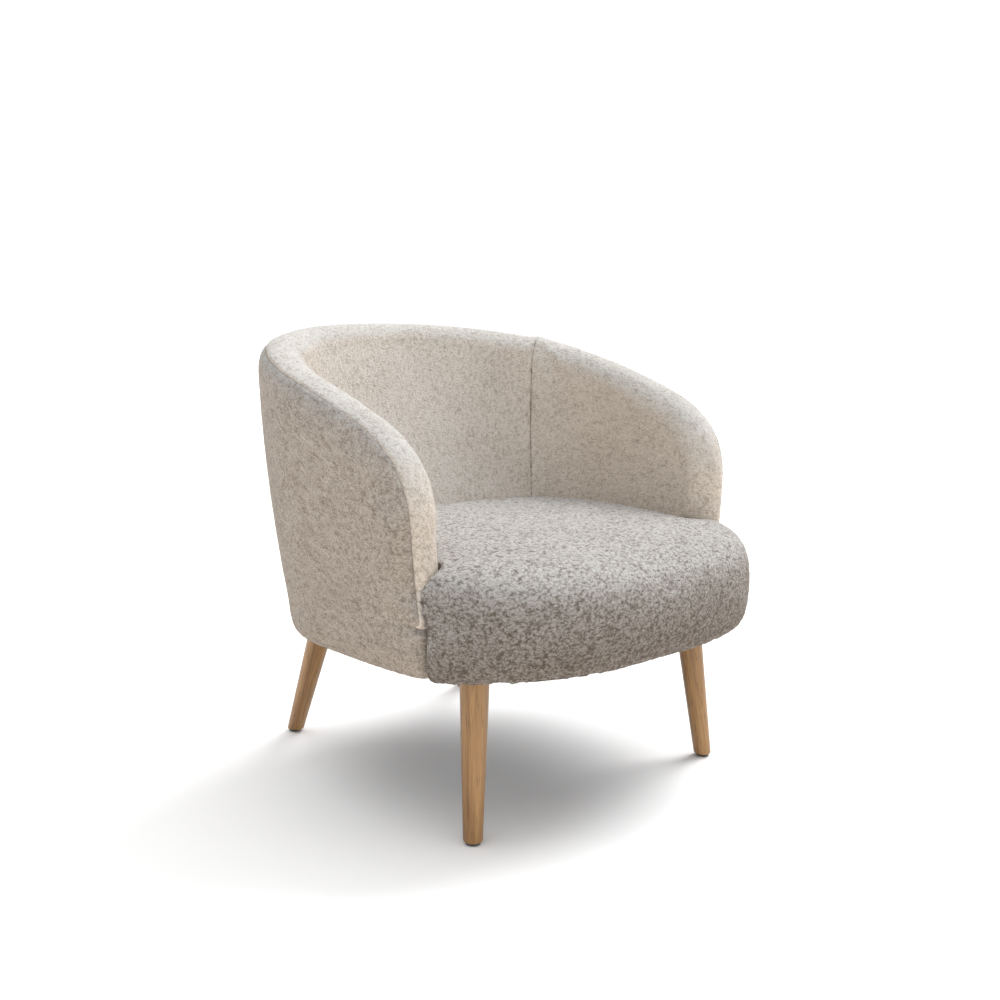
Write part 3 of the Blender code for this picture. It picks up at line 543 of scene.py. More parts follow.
@dataclass
class TubShape:
    """Plan, flare and rolled rim of the tub, the same as in the frame."""

    height: float = 0.720
    half_width: float = 0.362
    back_depth: float = 0.342
    front_depth: float = 0.395
    plan_y: float = 0.0265
    back_round: float = 2.15
    front_round: float = 3.6
    bottom: float = 0.2415
    half_width_low: float = 0.332
    back_depth_low: float = 0.265
    flare_top: float = 0.66
    flare_power: float = 1.8
    rim_radius: float = 0.036
    rim_drop: float = 0.15
    rim_crown: float = 0.27
    rim_side: float = 0.007
    back_thick: float = 0.163
    seat_join: float = 0.395
    square_top: float = 0.362
    arm_front: float = -0.2110
    corner_z: float = 0.455
    corner_end: float = -0.075
    inner_foot: float = 0.315
    bend: float = math.radians(-56)
    corner_steps: int = 10
    arm_steps: int = 16
    back_steps: int = 40
    stops: list[Stop] = field(default_factory=list)

    def __post_init__(self) -> None:
        """Lay out the stops along the rim, from the left arm's front to the right's."""
        left = []
        for step in range(self.corner_steps + 1):
            share = step / self.corner_steps
            y, z = self._corner(share)
            after = self._corner(share + 0.001) if step else (y, z + 0.001)
            left.append(self.stop(self._side_angle(y), z, self._side_angle(after[0]), after[1]))
        start = left[-1][0]
        for step in range(1, self.arm_steps + 1):
            left.append(self._rim_stop(start + (self.bend - start) * step / self.arm_steps))
        self.seam = len(left) - 1
        for step in range(1, self.back_steps + 1):
            left.append(self._rim_stop(self.bend * (1 - step / self.back_steps)))
        self.stops = left + [self._mirrored(stop) for stop in reversed(left[:-1])]
        self.last = len(self.stops) - 1

    def size(self, z: float) -> tuple[float, float]:
        """Half width and rear depth of the shell at a height."""
        rise = clamp((z - self.bottom) / (self.flare_top - self.bottom))
        swell = 1.0 - (1.0 - rise) ** self.flare_power
        half = self.half_width_low + (self.half_width - self.half_width_low) * swell
        return half, self.back_depth_low + (self.back_depth - self.back_depth_low) * swell

    def outline(self, angle: float, z: float) -> Vector:
        """Point on the outside of the shell; angle 0 is the middle of the back."""
        half, back = self.size(z)
        x, y = superellipse(angle, half, (back, self.back_round),
                            (self.front_depth, self.front_round))
        return Vector((x, self.plan_y + y, z))

    def outward(self, angle: float, z: float) -> Vector:
        """Level direction that points out of the shell."""
        half, back = self.size(z)
        behind = math.cos(angle) >= 0
        n, deep = (self.back_round, back) if behind else (self.front_round, self.front_depth)
        exponent = 2 * (n - 1) / n
        x = math.copysign(abs(math.sin(angle)) ** exponent / half, math.sin(angle))
        y = math.copysign(abs(math.cos(angle)) ** exponent / deep, math.cos(angle))
        return Vector((x, y, 0.0)).normalized()

    def _side_angle(self, y: float) -> float:
        """Plan angle of a point on the left arm."""
        share = ((self.plan_y - y) / self.front_depth) ** (self.front_round / 2)
        return -(math.pi - math.acos(share))

    def _rim_height(self, y: float) -> float:
        """Height of the middle of the rim roll."""
        run = self.plan_y + self.back_depth - self.rim_radius - y
        return self.height - self.rim_radius - self.rim_drop * run - self.rim_crown * run * run

    def _rim_at(self, angle: float) -> float:
        """Height of the rim roll's middle at a plan angle."""
        z = 0.6
        for _ in range(4):
            z = self._rim_height(self.outline(angle, z).y - math.cos(angle) * self.rim_radius)
        return min(z, self.height - self.rim_radius) - self.rim_side * math.sin(angle) ** 2

    def _corner(self, share: float) -> tuple[float, float]:
        """Rounded front corner of the arm seen from the side, as y and z."""
        start = Vector((self.arm_front + self.rim_radius, self.corner_z))
        run = self.plan_y + self.back_depth - self.rim_radius - self.corner_end
        end = Vector((self.corner_end, self._rim_height(self.corner_end) - self.rim_side))
        slope = self.rim_drop + 2 * self.rim_crown * run
        pull = start + Vector((0.0, 0.070)), end - Vector((1.0, slope)) * 0.047
        u = 1 - share
        spot = (u ** 3 * start + 3 * u * u * share * pull[0]
                + 3 * u * share * share * pull[1] + share ** 3 * end)
        return spot[0], spot[1]

    def stop(self, angle: float, z: float, ahead: float, ahead_z: float,
             square: float = 0.0) -> Stop:
        """A stop on the rim: plan angle, height, the way its edge faces, squareness."""
        way = self.outline(ahead, ahead_z) - self.outline(angle, z)
        return angle, z, way.cross(self.outward(angle, z)).normalized(), square

    def _rim_stop(self, angle: float) -> Stop:
        """A stop on top of the shell."""
        return self.stop(angle, self._rim_at(angle), angle + 0.001, self._rim_at(angle + 0.001))

    @staticmethod
    def _mirrored(stop: Stop) -> Stop:
        """The same stop on the other side of the chair."""
        angle, z, edge, square = stop
        return -angle, z, Vector((-edge.x, edge.y, edge.z)), square

    def front_stop(self, z: float, right: bool) -> Stop:
        """A stop on the upright front edge of an arm."""
        angle = self.stops[0][0]
        square = clamp((self.square_top - z) / 0.030)
        stop = self.stop(angle, z, angle, z + 0.001, square)
        return self._mirrored(stop) if right else stop

    def row_z(self, column: int, height: float, foot: float) -> float:
        """Height in a column, for a height given on the front edge of the arm."""
        share = (height - foot) / (self.corner_z - foot)
        return foot + share * (self.stops[column][1] - foot)

    def thickness(self, column: int, z: float) -> float:
        """Thickness of the shell at a column and height."""
        angle, top = self.stops[column][:2]
        drop = clamp((top - z) / (top - self.seat_join))
        extra = self.back_thick - 2 * self.rim_radius
        return 2 * self.rim_radius + extra * drop * max(0.0, math.cos(angle)) ** 1.5

    def roll_point(self, stop: Stop, degrees: float, radius: float, depth: float) -> Vector:
        """A point round the rim roll: 0 degrees is outside, 180 degrees is inside."""
        angle, z, edge, square = stop
        out = self.outward(angle, z)
        centre = self.outline(angle, z) - out * depth
        across, along = math.cos(math.radians(degrees)), math.sin(math.radians(degrees))
        stretch = 1 + square * (1 / max(abs(across), abs(along)) - 1)
        return centre + (out * across + edge * along) * radius * stretch


class Panel:
    """A patch of columns and rows that carries on round the rim roll."""

    def __init__(self, tub: TubShape, first: int, last: int, heights: list[float],
                 turns: list[float]) -> None:
        """Lay out the patch.

        Args:
            tub: The shape of the tub.
            first: First column.
            last: Last column.
            heights: Heights of the rows, on the front edge of the arm.
            turns: Angles round the rim roll.
        """
        self.tub, self.first, self.last = tub, first, last
        self.heights, self.turns = heights, turns
        rows = len(heights)
        self.faces = [(("g", i, j), ("g", i + 1, j), ("g", i + 1, j + 1), ("g", i, j + 1))
                      for i in range(first, last) for j in range(rows - 1)]
        line = [("g", 0, j) for j in range(rows - 1)] if first == 0 else []
        line += [("g", i, rows - 1) for i in range(first, last + 1)]
        if last == tub.last:
            line += [("g", last, j) for j in range(rows - 2, -1, -1)]
        for k in range(len(line) - 1):
            for m in range(len(turns)):
                self.faces.append(tuple(
                    line[k + b] if m + a == 0 else ("r", line[k + b], m + a)
                    for a, b in ((0, 0), (0, 1), (1, 1), (1, 0))))

    def stop_of(self, key: Key) -> Stop:
        """The rim stop that a point on the rim line belongs to."""
        column, row = key[1], key[2]
        if row == len(self.heights) - 1:
            return self.tub.stops[column]
        return self.tub.front_stop(self.heights[row], column == self.tub.last)

    def column_of(self, key: Key) -> int:
        """The column that a point belongs to."""
        return key[1] if key[0] == "g" else key[1][1]

    @staticmethod
    def row_of(key: Key) -> int:
        """The row that a point belongs to."""
        return key[2] if key[0] == "g" else key[1][2]

    def _tightness(self, a: Key, b: Key) -> float:
        """How sharp the edge of a panel stays: tight where pads are sewn, and along the foot."""
        sides = {self.column_of(a), self.column_of(b)}
        if sides in ({self.first}, {self.last}) and not sides & {0, self.tub.last}:
            return 0.95
        if self.row_of(a) == self.row_of(b) == 0:
            return 0.90
        front = self.tub.corner_steps
        return 0.0 if min(sides) < front or max(sides) > self.tub.last - front else 0.35

    def body(self, name: str, place: Callable[[Key, int], Vector]) -> bpy.types.Object:
        """Close two copies of the patch into a body.

        Args:
            name: The piece's name.
            place: Gives the point for a key, on the face (0) or the back (1).

        Returns:
            The body; its point group "held" holds the back and the seams.
        """
        keys = sorted({key for face in self.faces for key in face}, key=str)
        index = {key: k for k, key in enumerate(keys)}
        count = len(keys)
        spots = [place(key, 0) for key in keys] + [place(key, 1) for key in keys]
        solid, border = [], {}
        for face in self.faces:
            solid.append(tuple(index[key] for key in face))
            solid.append(tuple(index[key] + count for key in reversed(face)))
            for a, b in zip(face, face[1:] + face[:1]):
                border[(a, b)] = border.get((a, b), 0) + 1
        held = set(range(count, 2 * count))
        sharp = {}
        for a, b in border:
            if (b, a) not in border:
                solid.append((index[b], index[a], index[a] + count, index[b] + count))
                held.update((index[a], index[b]))
                sharp[frozenset((index[a], index[b]))] = self._tightness(a, b)
        made = from_faces(name, spots, solid)
        crease = made.data.attributes.new("crease_edge", "FLOAT", "EDGE")
        crease.data.foreach_set("value", [sharp.get(frozenset(edge.vertices), 0.0)
                                          for edge in made.data.edges])
        made.vertex_groups.new(name="held").add(sorted(held), 1.0, "REPLACE")
        made.vertex_groups.new(name="back").add(list(range(count, 2 * count)), 1.0, "REPLACE")
        return made


# ------------------------------------------------------------------ padded pieces

@dataclass
class Stuffing:
    """How a padded piece swells, and the loops of its cloth."""

    pressure: float = 4.0
    cap: float = 0.004
    frames: int = 20
    levels: int = 2
    loop: float = 0.009
    rise: float = 0.0013
    row_pull: float = 1.0

    def swell(self, piece: bpy.types.Object, held: str = "") -> None:
        """Swell a piece by cloth pressure, with a cap on how far a point moves.

        Args:
            piece: The piece.
            held: The point group that stays where it is.
        """
        before = [vertex.co.copy() for vertex in piece.data.vertices]
        cloth = piece.modifiers.new("cloth", "CLOTH")
        for key, value in (("use_pressure", True), ("uniform_pressure_force", self.pressure),
                           ("quality", 4), ("mass", 0.4), ("tension_stiffness", 18),
                           ("compression_stiffness", 18), ("bending_stiffness", 1.5),
                           ("vertex_group_mass", held)):
            setattr(cloth.settings, key, value)
        cloth.settings.effector_weights.gravity = 0.0
        cloth.point_cache.frame_start = 1
        cloth.point_cache.frame_end = self.frames
        for step in range(1, self.frames + 1):
            bpy.context.scene.frame_set(step)
        apply_modifier(piece, "cloth")
        bpy.context.scene.frame_set(1)
        for vertex, start in zip(piece.data.vertices, before):
            move = vertex.co - start
            if move.length > self.cap:
                vertex.co = start + move.normalized() * self.cap

    def refine(self, piece: bpy.types.Object) -> None:
        """Smooth a piece by subdivision."""
        smooth = piece.modifiers.new("smooth", "SUBSURF")
        smooth.levels = smooth.render_levels = self.levels
        apply_modifier(piece, "smooth")

    def curl(self, piece: bpy.types.Object, back: str = "") -> None:
        """Raise the cloth's loops on the mesh, and store their height as "pile".

        How far the cloth faces upwards is stored as well; the cloth's colour reads it to paint shade
        on faces that turn sideways or down, and reads "pile" to paint shade into the low places.
            back: The point group on the hidden back, which stays smooth.
        """
        mesh = piece.data
        spots = [vertex.co.copy() for vertex in mesh.vertices]
        normals = [normal.vector.copy() for normal in mesh.vertex_normals]
        hidden = [False] * len(spots)
        if back:
            group = piece.vertex_groups[back].index
            hidden = [any(g.group == group and g.weight > 0.5 for g in vertex.groups)
                      for vertex in mesh.vertices]
        heights = [0.5 if lost else self._loop_height(spot)
                   for spot, lost in zip(spots, hidden)]
        moved = [spot if lost else spot + normal * ((height - 0.6) * self.rise)
                 for spot, normal, height, lost in zip(spots, normals, heights, hidden)]
        mesh.vertices.foreach_set("co", [number for spot in moved for number in spot])
        for name, values in (("pile", heights), ("facing_up", [normal.z for normal in normals])):
            mesh.attributes.new(name, "FLOAT", "POINT").data.foreach_set("value", values)
        mesh.update()
        piece.vertex_groups.clear()

    def _loop_height(self, spot: Vector) -> float:
        """Height of the loops at a point, from 0 to 1."""
        spread = spot / self.loop
        spread.z *= self.row_pull
        spread += noise.noise_vector(spot / (self.loop * 1.8)) * 0.75
        near = noise.voronoi(spread)[0]
        crest = 1.0 - min(1.0, near[0] * 1.15) ** 1.6
        curl = noise.noise(spot / (self.loop * 0.38)) * 0.5 + 0.5
        return clamp(crest * 0.75 + curl * 0.35)


@dataclass
class Shell:
    """The padded tub: one outer panel, the inner back and two arm pads."""

    tub: TubShape
    foam_out: float = 0.029
    foam_in: float = 0.0074
    outer_depth: float = 0.0092
    hem_depth: float = 0.0146
    tucks: tuple = (0.0060, 0.0020, 0.0003)
    seam_angle: float = 45.0
    seam_gap: float = 0.00015
    lip: float = 0.0012
    groove: float = 0.0036

    def build(self) -> None:
        """Make and dress the four padded panels."""
        # Two copies of one cloth: the inside copy is painted lighter and the outside copy darker,
        # painted light and shade for how brightly each side of the tub is lit.
        outside_copy_painted_shade = Boucle("boucle_outside", (0.590, 0.552, 0.508), (0.455, 0.417, 0.373),
                            (0.225, 0.192, 0.162), 0.0037, 0.0024, 0.94, 0.05).make()
        inside_copy_painted_light = Boucle("boucle_inside", (0.800, 0.758, 0.704), (0.700, 0.652, 0.592),
                              (0.440, 0.388, 0.330), 0.0038, 0.0026, 1.02, 0.04).make()
        seam, last = self.tub.seam, self.tub.last
        self._dress(self._outer(), outside_copy_painted_shade, Stuffing(cap=0.0022, loop=0.0068, rise=0.0012),
                    ("outer_cover", "outer_wadding"))
        for name, first, end, nodes in (
                ("inner_back_pad", seam, last - seam, ("inner_back_cover", "back_foam")),
                ("arm_pad_left", 0, seam, ("arm_cover_left", "arm_foam_left")),
                ("arm_pad_right", last - seam, last, ("arm_cover_right", "arm_foam_right"))):
            self._dress(self._inner(name, first, end), inside_copy_painted_light,
                        Stuffing(cap=0.0036, loop=0.0070, rise=0.0013), nodes)

    def _dress(self, piece: bpy.types.Object, cloth: bpy.types.Material, stuffing: Stuffing,
               nodes: tuple) -> None:
        """Swell a panel, raise its loops and let it stand for its parts in the frame."""
        stuffing.swell(piece, "held")
        stuffing.refine(piece)
        stuffing.curl(piece, "back")
        settle(piece, cloth)
        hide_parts(*nodes)

    def _outer(self) -> bpy.types.Object:
        """The outside panel, from its hem to the rim seam."""
        tub = self.tub
        foot = tub.bottom + 0.0006
        heights = [foot, foot + 0.0035, foot + 0.0095]
        heights += [foot + 0.0095 + (tub.corner_z - foot - 0.0095) * k / 30 for k in range(1, 31)]
        turns = [15.0, 29.0, 40.0, self.seam_angle - 0.3]
        panel = Panel(tub, 0, tub.last, heights, turns)

        def place(key: Key, back: int) -> Vector:
            """A point on the face or the back of the panel."""
            row = panel.row_of(key)
            tuck = self.tucks[row] if row < len(self.tucks) else 0.0
            if key[0] == "r":
                z = heights[row]
                wrap = 1 + 2 * clamp((tub.inner_foot + 0.001 - z) / 0.006)
                sunk = self.groove * (key[2] == len(turns)) + tuck
                radius = tub.rim_radius - (self.outer_depth if back else sunk)
                return tub.roll_point(panel.stop_of(key[1]), turns[key[2] - 1] * wrap, radius,
                                      tub.rim_radius)
            angle = tub.stops[key[1]][0]
            z = tub.row_z(key[1], heights[row], foot)
            lap = self.hem_depth if row < 3 else self.outer_depth
            return tub.outline(angle, z) - tub.outward(angle, z) * (lap if back else tuck)

        return panel.body("outer_panel", place)

    def _inner(self, name: str, first: int, last: int) -> bpy.types.Object:
        """An inside pad, wrapped over the top of the frame to the rim seam."""
        tub = self.tub
        foot = tub.inner_foot
        heights = [foot + (tub.corner_z - foot) * k / 20 for k in range(21)]
        turns = [180.0 - 14.5 * k for k in range(1, 9)] + [50.0, self.seam_angle + 0.3]
        panel = Panel(tub, first, last, heights, turns)
        core = (self.foam_out - self.foam_in) / 2

        def place(key: Key, back: int) -> Vector:
            """A point on the face or the back of the pad."""
            column = panel.column_of(key)
            angle = tub.stops[column][0]
            out = tub.outward(angle, 0.5)
            step = Vector((out.y, -out.x, 0.0)) * self.seam_gap
            step *= (column == first and first > 0) - (column == last and last < tub.last)
            lip = self.lip * any(step) * (1 - back)
            if key[0] == "r":
                stop = panel.stop_of(key[1])
                turn = turns[key[2] - 1]
                if back:
                    return tub.roll_point(stop, turn, core, self.foam_in + core) + step
                proud = lip - self.groove * (key[2] == len(turns))
                return tub.roll_point(stop, turn, tub.rim_radius + proud, tub.rim_radius) + step
            z = tub.row_z(column, heights[key[2]], foot)
            depth = self.foam_out if back else tub.thickness(column, z) + lip
            return tub.outline(angle, z) - tub.outward(angle, z) * depth + step

        return panel.body(name, place)


@dataclass
class Seat:
    """The tight rounded seat that fills the tub and hangs over its front."""

    tub: TubShape
    half_width: float = 0.350
    centre: float = -0.02
    radius: float = 0.370
    front_round: float = 3.1
    crown: float = 0.411
    sides: int = 160
    side_fill: float = 0.6
    voxel: float = 0.0055
    shell_gap: float = 0.0002
    frame_at: tuple = (0.0, 0.079, 0.255)
    frame_size: tuple = (0.528, 0.642, 0.1096)
    ring_half: float = 0.320
    ring_depths: tuple = (0.252, 0.367)
    ring_heights: tuple = (0.2, 0.2602)
    ring_sides: int = 96
    profile: tuple = ((0.322, 0.2415), (0.344, 0.2415), (0.3560, 0.2470), (0.3630, 0.262),
                      (0.3690, 0.297), (0.3695, 0.335), (0.3640, 0.358), (0.3540, 0.374),
                      (0.3380, 0.386), (0.3120, 0.395), (0.26, 0.402), (0.19, 0.407),
                      (0.10, 0.410))

    def build(self) -> None:
        """Make the seat pad, fit it between back and arms, and dress it."""
        piece = self._crowned_pad()
        self._cut_to_fit(piece)
        remesh = piece.modifiers.new("remesh", "REMESH")
        remesh.mode = "VOXEL"
        remesh.voxel_size = self.voxel
        apply_modifier(piece, "remesh")
        smooth = piece.modifiers.new("even", "SMOOTH")
        smooth.factor, smooth.iterations = 0.5, 3
        apply_modifier(piece, "even")
        stuffing = Stuffing(cap=0.003, levels=1, loop=0.0076, rise=0.0024, row_pull=1.35)
        stuffing.swell(piece)
        stuffing.refine(piece)
        stuffing.curl(piece)
        piece.data.shade_smooth()
        # The seat's copy of the cloth carries the strongest painted shade: faces turned sideways or
        # down are darkened to about half, and the gaps between its loops are darkest.
        settle(piece, Boucle("boucle_seat", (0.760, 0.728, 0.686), (0.585, 0.546, 0.500),
                             (0.205, 0.166, 0.132), 0.0048, 0.0048, 0.54, 0.12).make())
        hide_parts("seat_cover", "seat_foam")

    def _plan(self, turn: float, share: float) -> tuple[float, float]:
        """Level position on the seat's outline, shrunk towards the seat's centre."""
        angle = 2 * math.pi * turn / self.sides
        if math.cos(angle) < 0 and share > 0.8:
            share += self.side_fill * (1.0 - share) * math.sin(angle) ** 2
        x, y = superellipse(angle, self.half_width,
                            (self.tub.back_depth_low, self.tub.back_round),
                            (self.tub.front_depth, self.front_round))
        y = self.tub.plan_y + y
        return x * share, self.centre + (y - self.centre) * share

    def _crowned_pad(self) -> bpy.types.Object:
        """The pad before it is cut to fit."""
        spots = []
        path = self._smooth_path()
        for radius, z in path:
            for turn in range(self.sides):
                x, y = self._plan(turn, radius / self.radius)
                spots.append(Vector((x, y, z)))
        return from_faces("seat_pad", spots, rings(self.sides, len(path)))

    def _smooth_path(self) -> list[tuple[float, float]]:
        """The profile with three more points between each two, on a smooth line."""
        ends = [self.profile[0]] + list(self.profile) + [(0.02, self.crown), (0.0, self.crown)]
        path = []
        for k in range(1, len(ends) - 2):
            for step in range(4):
                t = step / 4
                path.append(tuple(0.5 * (2 * b + (c - a) * t + (2 * a - 5 * b + 4 * c - d) * t * t
                                         + (3 * b - a - 3 * c + d) * t ** 3)
                                  for a, b, c, d in zip(*ends[k - 1:k + 3])))
        return path + [ends[-2]]

    def _cut_to_fit(self, piece: bpy.types.Object) -> None:
        """Take the room of the shell, the base ring and the frame out of the pad."""
        for cutter in (self._shell_room(), self._ring_room(), self._frame_room()):
            cut = piece.modifiers.new("fit", "BOOLEAN")
            cut.operation, cut.solver, cut.object = "DIFFERENCE", "EXACT", cutter
            apply_modifier(piece, "fit")
            bpy.data.objects.remove(cutter, do_unlink=True)

    def _frame_room(self) -> bpy.types.Object:
        """Room for rails, blocks and webbing."""
        deselect_all()
        bpy.ops.mesh.primitive_cube_add(size=1.0, location=self.frame_at)
        room = bpy.context.object
        room.scale = self.frame_size
        bpy.ops.object.transform_apply(location=True, rotation=False, scale=True)
        return room

    def _ring_room(self) -> bpy.types.Object:
        """Room for the base ring."""
        tub, count = self.tub, self.ring_sides
        rear, front = self.ring_depths
        spots = []
        for z in self.ring_heights:
            for turn in range(count):
                x, y = superellipse(2 * math.pi * turn / count, self.ring_half,
                                    (rear, tub.back_round), (front, tub.front_round))
                spots.append(Vector((x, tub.plan_y + y, z)))
        return from_faces("ring_room", spots, rings(count, 2))

    def _shell_room(self) -> bpy.types.Object:
        """Room for the back and the arms."""
        tub, gap = self.tub, self.shell_gap
        foot = tub.inner_foot
        heights = [0.200] + [foot + (tub.corner_z - foot) * k / 12 for k in range(13)]
        turns = [157.5 - 22.5 * k for k in range(8)]
        panel = Panel(tub, 0, tub.last, heights, turns)

        def place(key: Key, back: int) -> Vector:
            """A point on the inside of the tub or well outside it."""
            if key[0] == "g":
                column, row = key[1], key[2]
                angle = tub.stops[column][0]
                z = heights[0] if row == 0 else tub.row_z(column, heights[row], foot)
                wall = max(z, foot)
                depth = -0.030 if back else tub.thickness(column, wall) + gap
                spot = tub.outline(angle, wall) - tub.outward(angle, wall) * depth
                return Vector((spot.x, spot.y, z))
            column, row = key[1][1], key[1][2]
            top = row == len(heights) - 1
            z = tub.stops[column][1] if top else heights[row]
            stop = tub.stops[column] if top else tub.front_stop(max(z, foot), column == tub.last)
            out = tub.outward(stop[0], stop[1])
            if back:
                spot = tub.outline(stop[0], stop[1]) + out * 0.030 + stop[2] * 0.002 * key[2]
            else:
                turn = turns[key[2] - 1]
                beyond = 45.0 - turn if not top and turn < 45.0 else 0.0
                spot = tub.roll_point(stop, turn + beyond, tub.rim_radius + gap, tub.rim_radius)
                spot += out * 0.030 * beyond / 45.0
            return Vector((spot.x, spot.y, spot.z - (max(z, foot) - z) * (row == 0)))

        return panel.body("shell_room", place)


# ------------------------------------------------------------------ legs and underside

@dataclass
class Legs:
    """Four round tapered oak legs, set at a splay."""

    head_z: float = 0.2397
    foot_z: float = 0.0043
    head_radius: float = 0.0215
    foot_radius: float = 0.0140
    bore: float = 0.0046
    bore_depth: float = 0.042
    front: tuple = ((0.253, -0.2305), (0.230, -0.2085))
    rear: tuple = ((0.195, 0.3285), (0.185, 0.2315))
    sides: int = 48

    def build(self) -> None:
        """Make and dress the four legs."""
        wood = Oak().make()
        for end, ((foot_x, foot_y), (head_x, head_y)) in (("front", self.front),
                                                          ("rear", self.rear)):
            for side, sign in (("left", -1.0), ("right", 1.0)):
                foot = Vector((foot_x * sign, foot_y, 0.0))
                head = Vector((head_x * sign, head_y, self.head_z))
                piece = self._turn(foot, head)
                piece.name = piece.data.name = f"oak_leg_{end}_{side}"
                self._lay_grain(piece, foot, head)
                settle(piece, wood)
                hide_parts(f"leg_{end}_{side}")

    def _turn(self, foot: Vector, head: Vector) -> bpy.types.Object:
        """Model one leg.

        Args:
            foot: The middle of its foot.
            head: The middle of its head.

        Returns:
            The leg.
        """
        axis = (head - foot).normalized()
        low = foot + axis * (self.foot_z / axis.z)
        deselect_all()
        bpy.ops.mesh.primitive_cone_add(
            vertices=self.sides, radius1=self.foot_radius, radius2=self.head_radius,
            depth=self.head_z - self.foot_z, location=(low.x, low.y, (self.head_z + self.foot_z) / 2))
        leg = bpy.context.object
        half = (self.head_z - self.foot_z) / 2
        bpy.ops.object.mode_set(mode="EDIT")
        bpy.ops.mesh.select_all(action="SELECT")
        bpy.ops.transform.resize(value=(1.0, 1.0 / math.cos(math.atan2(axis.y, axis.z)), 1.0))
        pick(leg, lambda face: face.calc_center_median().z > half - 1e-4)
        bpy.ops.transform.translate(value=(head.x - low.x, head.y - low.y, 0.0))
        bpy.ops.mesh.inset(thickness=self.head_radius - self.bore)
        bpy.ops.mesh.extrude_region_move(
            TRANSFORM_OT_translate={"value": tuple(axis * -self.bore_depth)})
        pick(leg, lambda face: face.calc_center_median().z < -half + 1e-4)
        bpy.ops.mesh.bevel(offset=0.0024, segments=4, affect="EDGES")
        bpy.ops.object.mode_set(mode="OBJECT")
        bpy.ops.object.shade_smooth_by_angle(angle=math.radians(40))
        return leg

    @staticmethod
    def _lay_grain(piece: bpy.types.Object, foot: Vector, head: Vector) -> None:
        """Store each point's place along and across the leg, for the grain to follow."""
        make_active(piece)
        bpy.ops.object.transform_apply(location=True, rotation=True, scale=True)
        turn = (head - foot).rotation_difference(Vector((0, 0, 1))).to_matrix()
        shift = Vector((foot.x * 3.1, foot.y * 2.3, foot.x + foot.y))
        grain = piece.data.attributes.new("grain", "FLOAT_VECTOR", "POINT")
        for vertex in piece.data.vertices:
            grain.data[vertex.index].vector = turn @ (vertex.co - foot) + shift


class HiddenFrame:
    """The pieces inside and under the chair, which keep their frame shapes."""

    def build(self) -> None:
        """Give every carried-over piece its own finish."""
        ply = {way: Timber(f"plywood_{way.name.lower()}", (0.60, 0.43, 0.26), (0.36, 0.23, 0.12),
                           way, layers).make()
               for way, layers in ((Grain.UP, 0.0), (Grain.ACROSS, 55.0))}
        pine = {way: Timber(f"softwood_{way.name.lower()}", (0.72, 0.54, 0.32),
                            (0.50, 0.32, 0.15), way).make()
                for way in (Grain.ACROSS, Grain.DEEP)}
        steel = Metal("zinc_steel", (0.66, 0.66, 0.68), (0.44, 0.44, 0.47), 0.30).make()
        brass = Metal("brass", (0.80, 0.60, 0.26), (0.58, 0.40, 0.15), 0.28).make()
        nylon = Moulded().make()
        webbing = WovenCloth("elastic_webbing", (0.20, 0.17, 0.14), (0.07, 0.06, 0.05), 0.0018).make()
        dust = WovenCloth("dust_cloth", (0.045, 0.045, 0.048), (0.016, 0.016, 0.018), 0.0012).make()
        finishes = (("back_post", ply[Grain.UP]), ("corner_post", ply[Grain.UP]),
                    ("arm_front_panel", ply[Grain.UP]), ("arm_top_rail", ply[Grain.ACROSS]),
                    ("back_top_rail", ply[Grain.ACROSS]), ("base_ring", ply[Grain.ACROSS]),
                    ("corner_block", pine[Grain.DEEP]), ("seat_rail_left", pine[Grain.DEEP]),
                    ("seat_rail_right", pine[Grain.DEEP]), ("seat_rail", pine[Grain.ACROSS]),
                    ("base_screw", steel), ("hanger_bolt", steel), ("threaded_insert", brass),
                    ("glide", nylon), ("web_strap", webbing), ("dust_cover", dust))
        for name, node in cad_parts.items():
            if node.hide_render:
                continue
            finish = next(made for start, made in finishes if name.startswith(start))
            node.data.materials.clear()
            node.data.materials.append(finish)
            log.info("%s: %s", name, finish.name)
        self._declare_dust_cover(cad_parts["dust_cover"])

    @staticmethod
    def _declare_dust_cover(cover: bpy.types.Object) -> None:
        """Do nothing with the black cloth stapled flat under the chair; it keeps its frame shape."""


# ------------------------------------------------------------------ stage

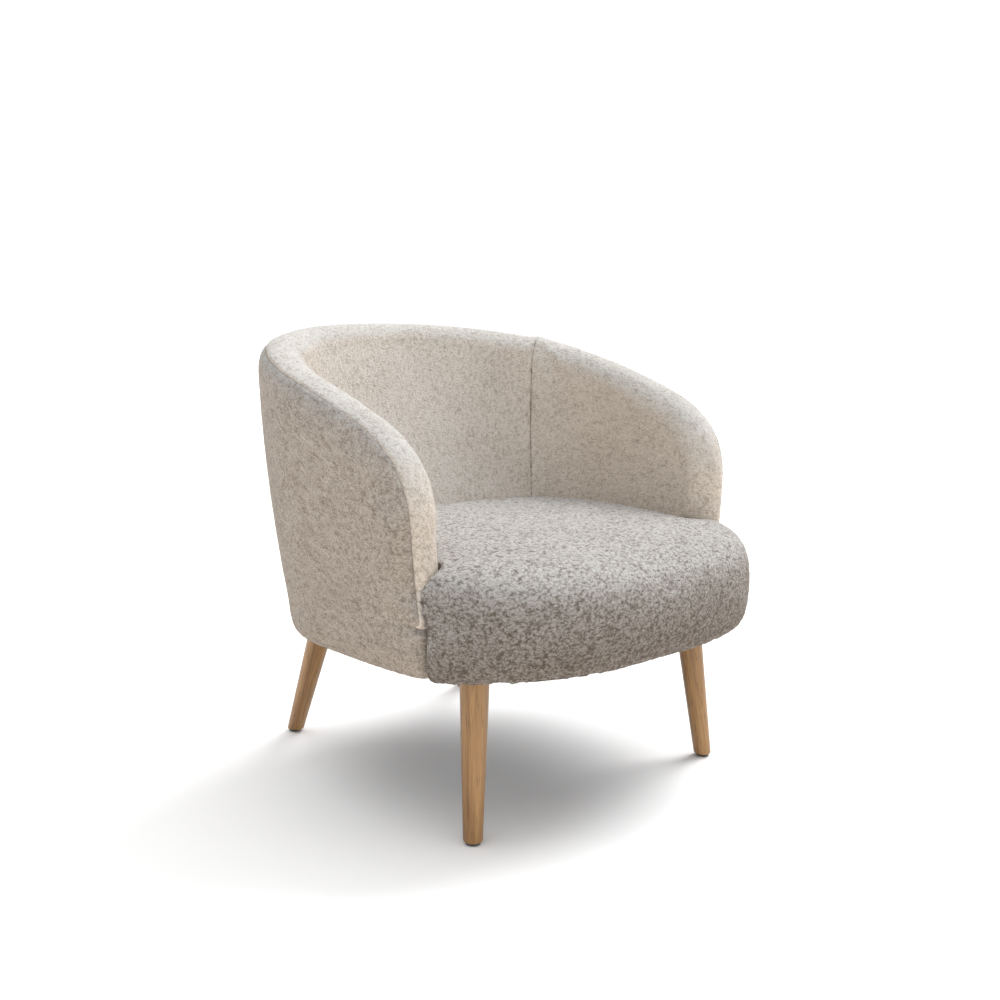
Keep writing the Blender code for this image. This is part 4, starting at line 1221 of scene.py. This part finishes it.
@dataclass
class Studio:
    """Pale floor, soft lights and the camera."""

    camera_at: tuple = (-1.2397, -1.3989, 0.722)
    pitch: float = 8.79
    heading: float = -41.6
    lens: float = 41.8
    key_from: tuple = (0.88, 0.02, 1.0)
    key_power: float = 2.7
    key_spread: float = 34.0
    walls: float = 0.60
    ceiling: float = 2.3

    def build(self) -> None:
        """Set up floor, lights, world and camera."""
        self._floor()
        self._sun()
        self._sky()
        bpy.context.scene.view_settings.view_transform = "Standard"
        data = bpy.data.cameras.new("camera")
        data.lens, data.sensor_width = self.lens, 36.0
        data.clip_end = 60.0
        camera = bpy.data.objects.new("camera", data)
        camera.location = self.camera_at
        camera.rotation_euler = (math.radians(90 - self.pitch), 0.0, math.radians(self.heading))
        bpy.context.scene.collection.objects.link(camera)
        bpy.context.scene.camera = camera

    @staticmethod
    def _floor() -> None:
        """A wide pale floor."""
        deselect_all()
        bpy.ops.mesh.primitive_plane_add(size=40.0, location=(0.0, 0.0, 0.0))
        floor = bpy.context.object
        floor.name = "floor"
        recipe = Recipe("floor")
        haze = recipe.cloud(recipe.place(), 0.6, 2.0)
        recipe.set(Base_Color=recipe.mix(haze, (0.90, 0.90, 0.90), (0.92, 0.92, 0.92)),
                   Roughness=0.85)
        floor.data.materials.append(recipe.material)

    def _sun(self) -> None:
        """One broad soft lamp, high on the right."""
        data = bpy.data.lights.new("key", "SUN")
        data.energy, data.angle = self.key_power, math.radians(self.key_spread)
        lamp = bpy.data.objects.new("key", data)
        lamp.rotation_euler = Vector(self.key_from).to_track_quat("Z", "Y").to_euler()
        bpy.context.scene.collection.objects.link(lamp)

    def _sky(self) -> None:
        """White walls all round, dimmer above them, and a bright ceiling."""
        world = bpy.data.worlds.new("studio")
        world.use_nodes = True
        tree = world.node_tree
        spot = tree.nodes.new("ShaderNodeTexCoord")
        split = tree.nodes.new("ShaderNodeSeparateXYZ")
        ramp = tree.nodes.new("ShaderNodeValToRGB")
        strength = tree.nodes.new("ShaderNodeMath")
        strength.operation = "MULTIPLY"
        strength.inputs[1].default_value = self.ceiling
        Recipe._set_stops(ramp.color_ramp, [
            (place, (level / self.ceiling,) * 3) for place, level in
            ((0.30, 1.02), (0.42, self.walls), (0.74, self.walls), (0.90, self.ceiling))])
        tree.links.new(spot.outputs["Generated"], split.inputs[0])
        tree.links.new(split.outputs["Z"], ramp.inputs["Fac"])
        tree.links.new(ramp.outputs["Color"], strength.inputs[0])
        tree.links.new(strength.outputs[0], tree.nodes["Background"].inputs["Strength"])
        tree.nodes["Background"].inputs["Color"].default_value = (1.0, 1.0, 1.0, 1.0)
        bpy.context.scene.world = world


def main() -> None:
    """Build the chair's looks in order."""
    logging.basicConfig(level=logging.INFO, format="%(name)s: %(message)s")
    deselect_all()
    tub = TubShape()
    for assembly in (Shell(tub), Seat(tub), Legs(), HiddenFrame(), Studio()):
        assembly.build()
        log.info("%s built", type(assembly).__name__)


if __name__ == "__main__":
    main()
